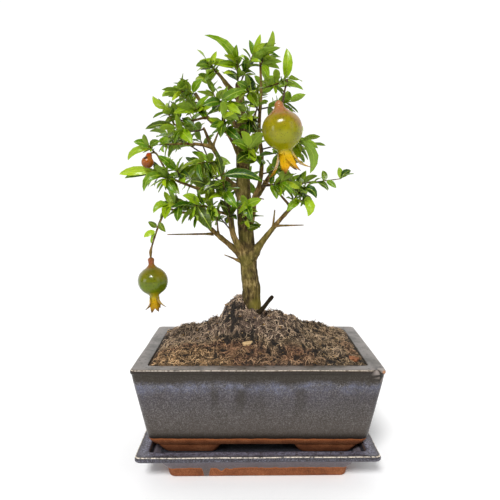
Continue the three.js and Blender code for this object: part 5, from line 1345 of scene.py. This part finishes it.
skins = {
    "pomegranate_right": fruit_material("ripening_pomegranate_skin", [
        (0.1, "#b07410"), (0.22, "#cc9a14"), (0.36, "#c09c10"), (0.44, "#8c8a06"),
        (0.6, "#868606"), (0.84, "#8c7c0a"), (0.93, "#946028"), (1, "#a4683c")],
        "#9a5c2c", "#4a3408", "#626404"),
    "pomegranate_left": fruit_material("green_pomegranate_skin", [
        (0.1, "#8a6410"), (0.26, "#b08a0c"), (0.38, "#a09010"), (0.45, "#5f6c06"),
        (0.6, "#5a6904"), (0.85, "#6a6210"), (1, "#84441f")], "#7f701c", "#3c3a08", "#3c4c04"),
    "young_fruit": fruit_material("young_pomegranate_skin", [
        (0.1, "#6e360a"), (0.4, "#96500e"), (0.65, "#a45c14"), (0.85, "#a03c14"), (1, "#8c3414")],
        "#b46c28", "#4c240a", "#7c3210"),
}
for name, fruit in FRUITS.items():
    radius = fruit["radius"]
    profile = through_points([[r, 0, z] for r, z in fruit["profile"]], 90)
    angle = np.arange(96) / 96 * 2 * np.pi
    lobe = 1 + 0.016 * np.cos(6 * angle + 0.6) * np.clip(profile[:, :1] * 1.2, 0, 1)
    breadth = np.clip(profile[:, :1], 0.01, 2) * radius * lobe
    body = np.stack([breadth * np.cos(angle), breadth * np.sin(angle),
                     np.repeat(profile[:, 2:] * radius, 96, 1)], -1)
    body = body + 0.012 * radius * noise3(body, radius * 0.7, 31)[..., None] * unit(body)
    points, (quads, fans) = lofted(body)
    faces = [quads, fans]
    dry = np.zeros(len(points))
    if fruit["sepals"]:
        leaves = []
        for degrees, reach, drop, width, arch in fruit["sepals"]:
            out = np.array([math.cos(math.radians(degrees)), math.sin(math.radians(degrees)), 0])
            root = out * fruit["sepal_root"][0] * radius + [0, 0, fruit["sepal_root"][1] * radius]
            leaves.append([*root, *(out * reach + [0, 0, drop]), *(out + [0, 0, 0.3]),
                           width, arch, 0])
        draws = rng.uniform(0.2, 0.8, (len(leaves), 8))
        sepal, sepal_faces, values, _ = blades(np.array(leaves), draws, SEPAL_BREADTH, SEPAL_THICK,
                                               (-0.35, -0.2), SEPAL_PLACES)
        faces += [f + len(points) for f in sepal_faces]
        points = np.vstack([points, sepal.reshape(-1, 3)])
        dry = np.concatenate([dry, np.clip((values["along"] - 0.72) / 0.25, 0, 1)])
    lowest, highest = points[:, 2].min(), points[:, 2].max()
    height = (points[:, 2] - lowest) / (highest - lowest)
    sun = np.clip((unit(points) @ unit(np.array([0.85, 0, 0.55])) - 0.45) / 0.55, 0, 1)
    lean_x, lean_y = fruit["lean"]
    cos, sin = math.cos(lean_y), math.sin(lean_y)
    points = points @ np.array([[cos, 0, -sin], [0, 1, 0], [sin, 0, cos]])
    cos, sin = math.cos(lean_x), math.sin(lean_x)
    points = points @ np.array([[1, 0, 0], [0, cos, sin], [0, -sin, cos]]) + fruit["centre"]
    if name == "young_fruit":
        scar = np.linalg.norm(unit(points - fruit["centre"]) - unit(np.array([-0.2, -0.7, 0.75])),
                              axis=1)
        dry = np.clip((0.42 - scar) / 0.12, 0, 1)
    indices = np.zeros(sum(len(f) for f in faces))
    materials = [skins[name]]
    if name == "pomegranate_right":
        axis = through_points(STALK, 26)
        stalk, stalk_faces = tubes(axis[None, :, :3], axis[None, :, 3], 14)
        faces += [f + len(points) for f in stalk_faces]
        indices = np.concatenate([indices, np.ones(sum(len(f) for f in stalk_faces))])
        points = np.vstack([points, stalk])
        height, sun, dry = (np.concatenate([v, np.zeros(len(stalk))]) for v in (height, sun, dry))
        materials.append(twig_bark)
    piece = new_piece(name + "_skin", points, faces, materials,
                      {"height": height, "sun": sun, "dry": dry}, None, indices, sharp=50)
    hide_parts(name)
    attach(piece, "root")


# ---- Stage, light and camera --------------------------------------------------------------
# A plain white studio table. A broad key light stands high in front, with a soft window light
# at the left and a weaker fill at the right, and the surround is brighter behind than in front.

material, tree, shader, place = new_material("white_table", Roughness=0.9)
grain = add_node(tree, "TexNoise", {"Vector": place, "Scale": 3, "Detail": 2})
colour = add_node(tree, "ValToRGB", {0: grain.outputs[0]}, [(0, "#fafafa"), (1, "#ffffff")])
tree.links.new(colour.outputs[0], shader.inputs["Base Color"])
corners = np.array([[-4000, -4000, -0.4], [4000, -4000, -0.4], [4000, 4000, -0.4],
                    [-4000, 4000, -0.4]])
floor = new_piece("table", corners, [np.array([[0, 1, 2, 3]])], [material])

world = bpy.data.worlds.new("studio")
bpy.context.scene.world = world
world.use_nodes = True
tree = world.node_tree
way = add_node(tree, "TexCoord").outputs["Generated"]
behind = add_node(tree, "SeparateXYZ", {0: way}).outputs["Y"]
glow = add_node(tree, "MapRange", {"Value": behind, 1: -0.1, 2: 0.35, 3: 0.2, 4: 1.05})
tree.nodes["Background"].inputs["Color"].default_value = (1, 1, 1, 1)
tree.links.new(glow.outputs[0], tree.nodes["Background"].inputs["Strength"])
lamps = {
    "key": ("SUN", (-0.2, -0.75, 0.95), 2.7, None),
    "window": ("AREA", (-1.3, -1.2, 0.5), 6, 0.6),
    "fill": ("AREA", (1.2, -0.9, 0.8), 4, 1.0),
}
for name, (kind, spot, power, size) in lamps.items():
    lamp = bpy.data.lights.new(name, kind)
    lamp.energy = power
    if kind == "SUN":
        lamp.angle = math.radians(15)
    else:
        lamp.shape, lamp.size = "SQUARE", size
    light = bpy.data.objects.new(name, lamp)
    light.location = spot
    light.rotation_euler = (Vector((0, 0, 0.25)) - Vector(spot)).to_track_quat("-Z", "Y").to_euler()
    bpy.context.scene.collection.objects.link(light)

# 50 degrees of view across, from in front of the tree and level with its trunk, in metres, and
# tilted down a little, in degrees.
FOCAL_LENGTH, SENSOR = 38.592, 36
CAMERA_X, CAMERA_Y, CAMERA_Z = -0.008, -0.6, 0.29
TILT = 6.2
lens = bpy.data.cameras.new("camera")
lens.lens, lens.sensor_width = FOCAL_LENGTH, SENSOR
lens.dof.use_dof = False
camera = bpy.data.objects.new("camera", lens)
camera.location = (CAMERA_X + CENTRE[0] / 1000, CAMERA_Y + CENTRE[1] / 1000, CAMERA_Z)
camera.rotation_euler = (math.radians(90 - TILT), 0, 0)
bpy.context.scene.collection.objects.link(camera)
bpy.context.scene.camera = camera
bpy.context.scene.view_settings.view_transform = "Standard"
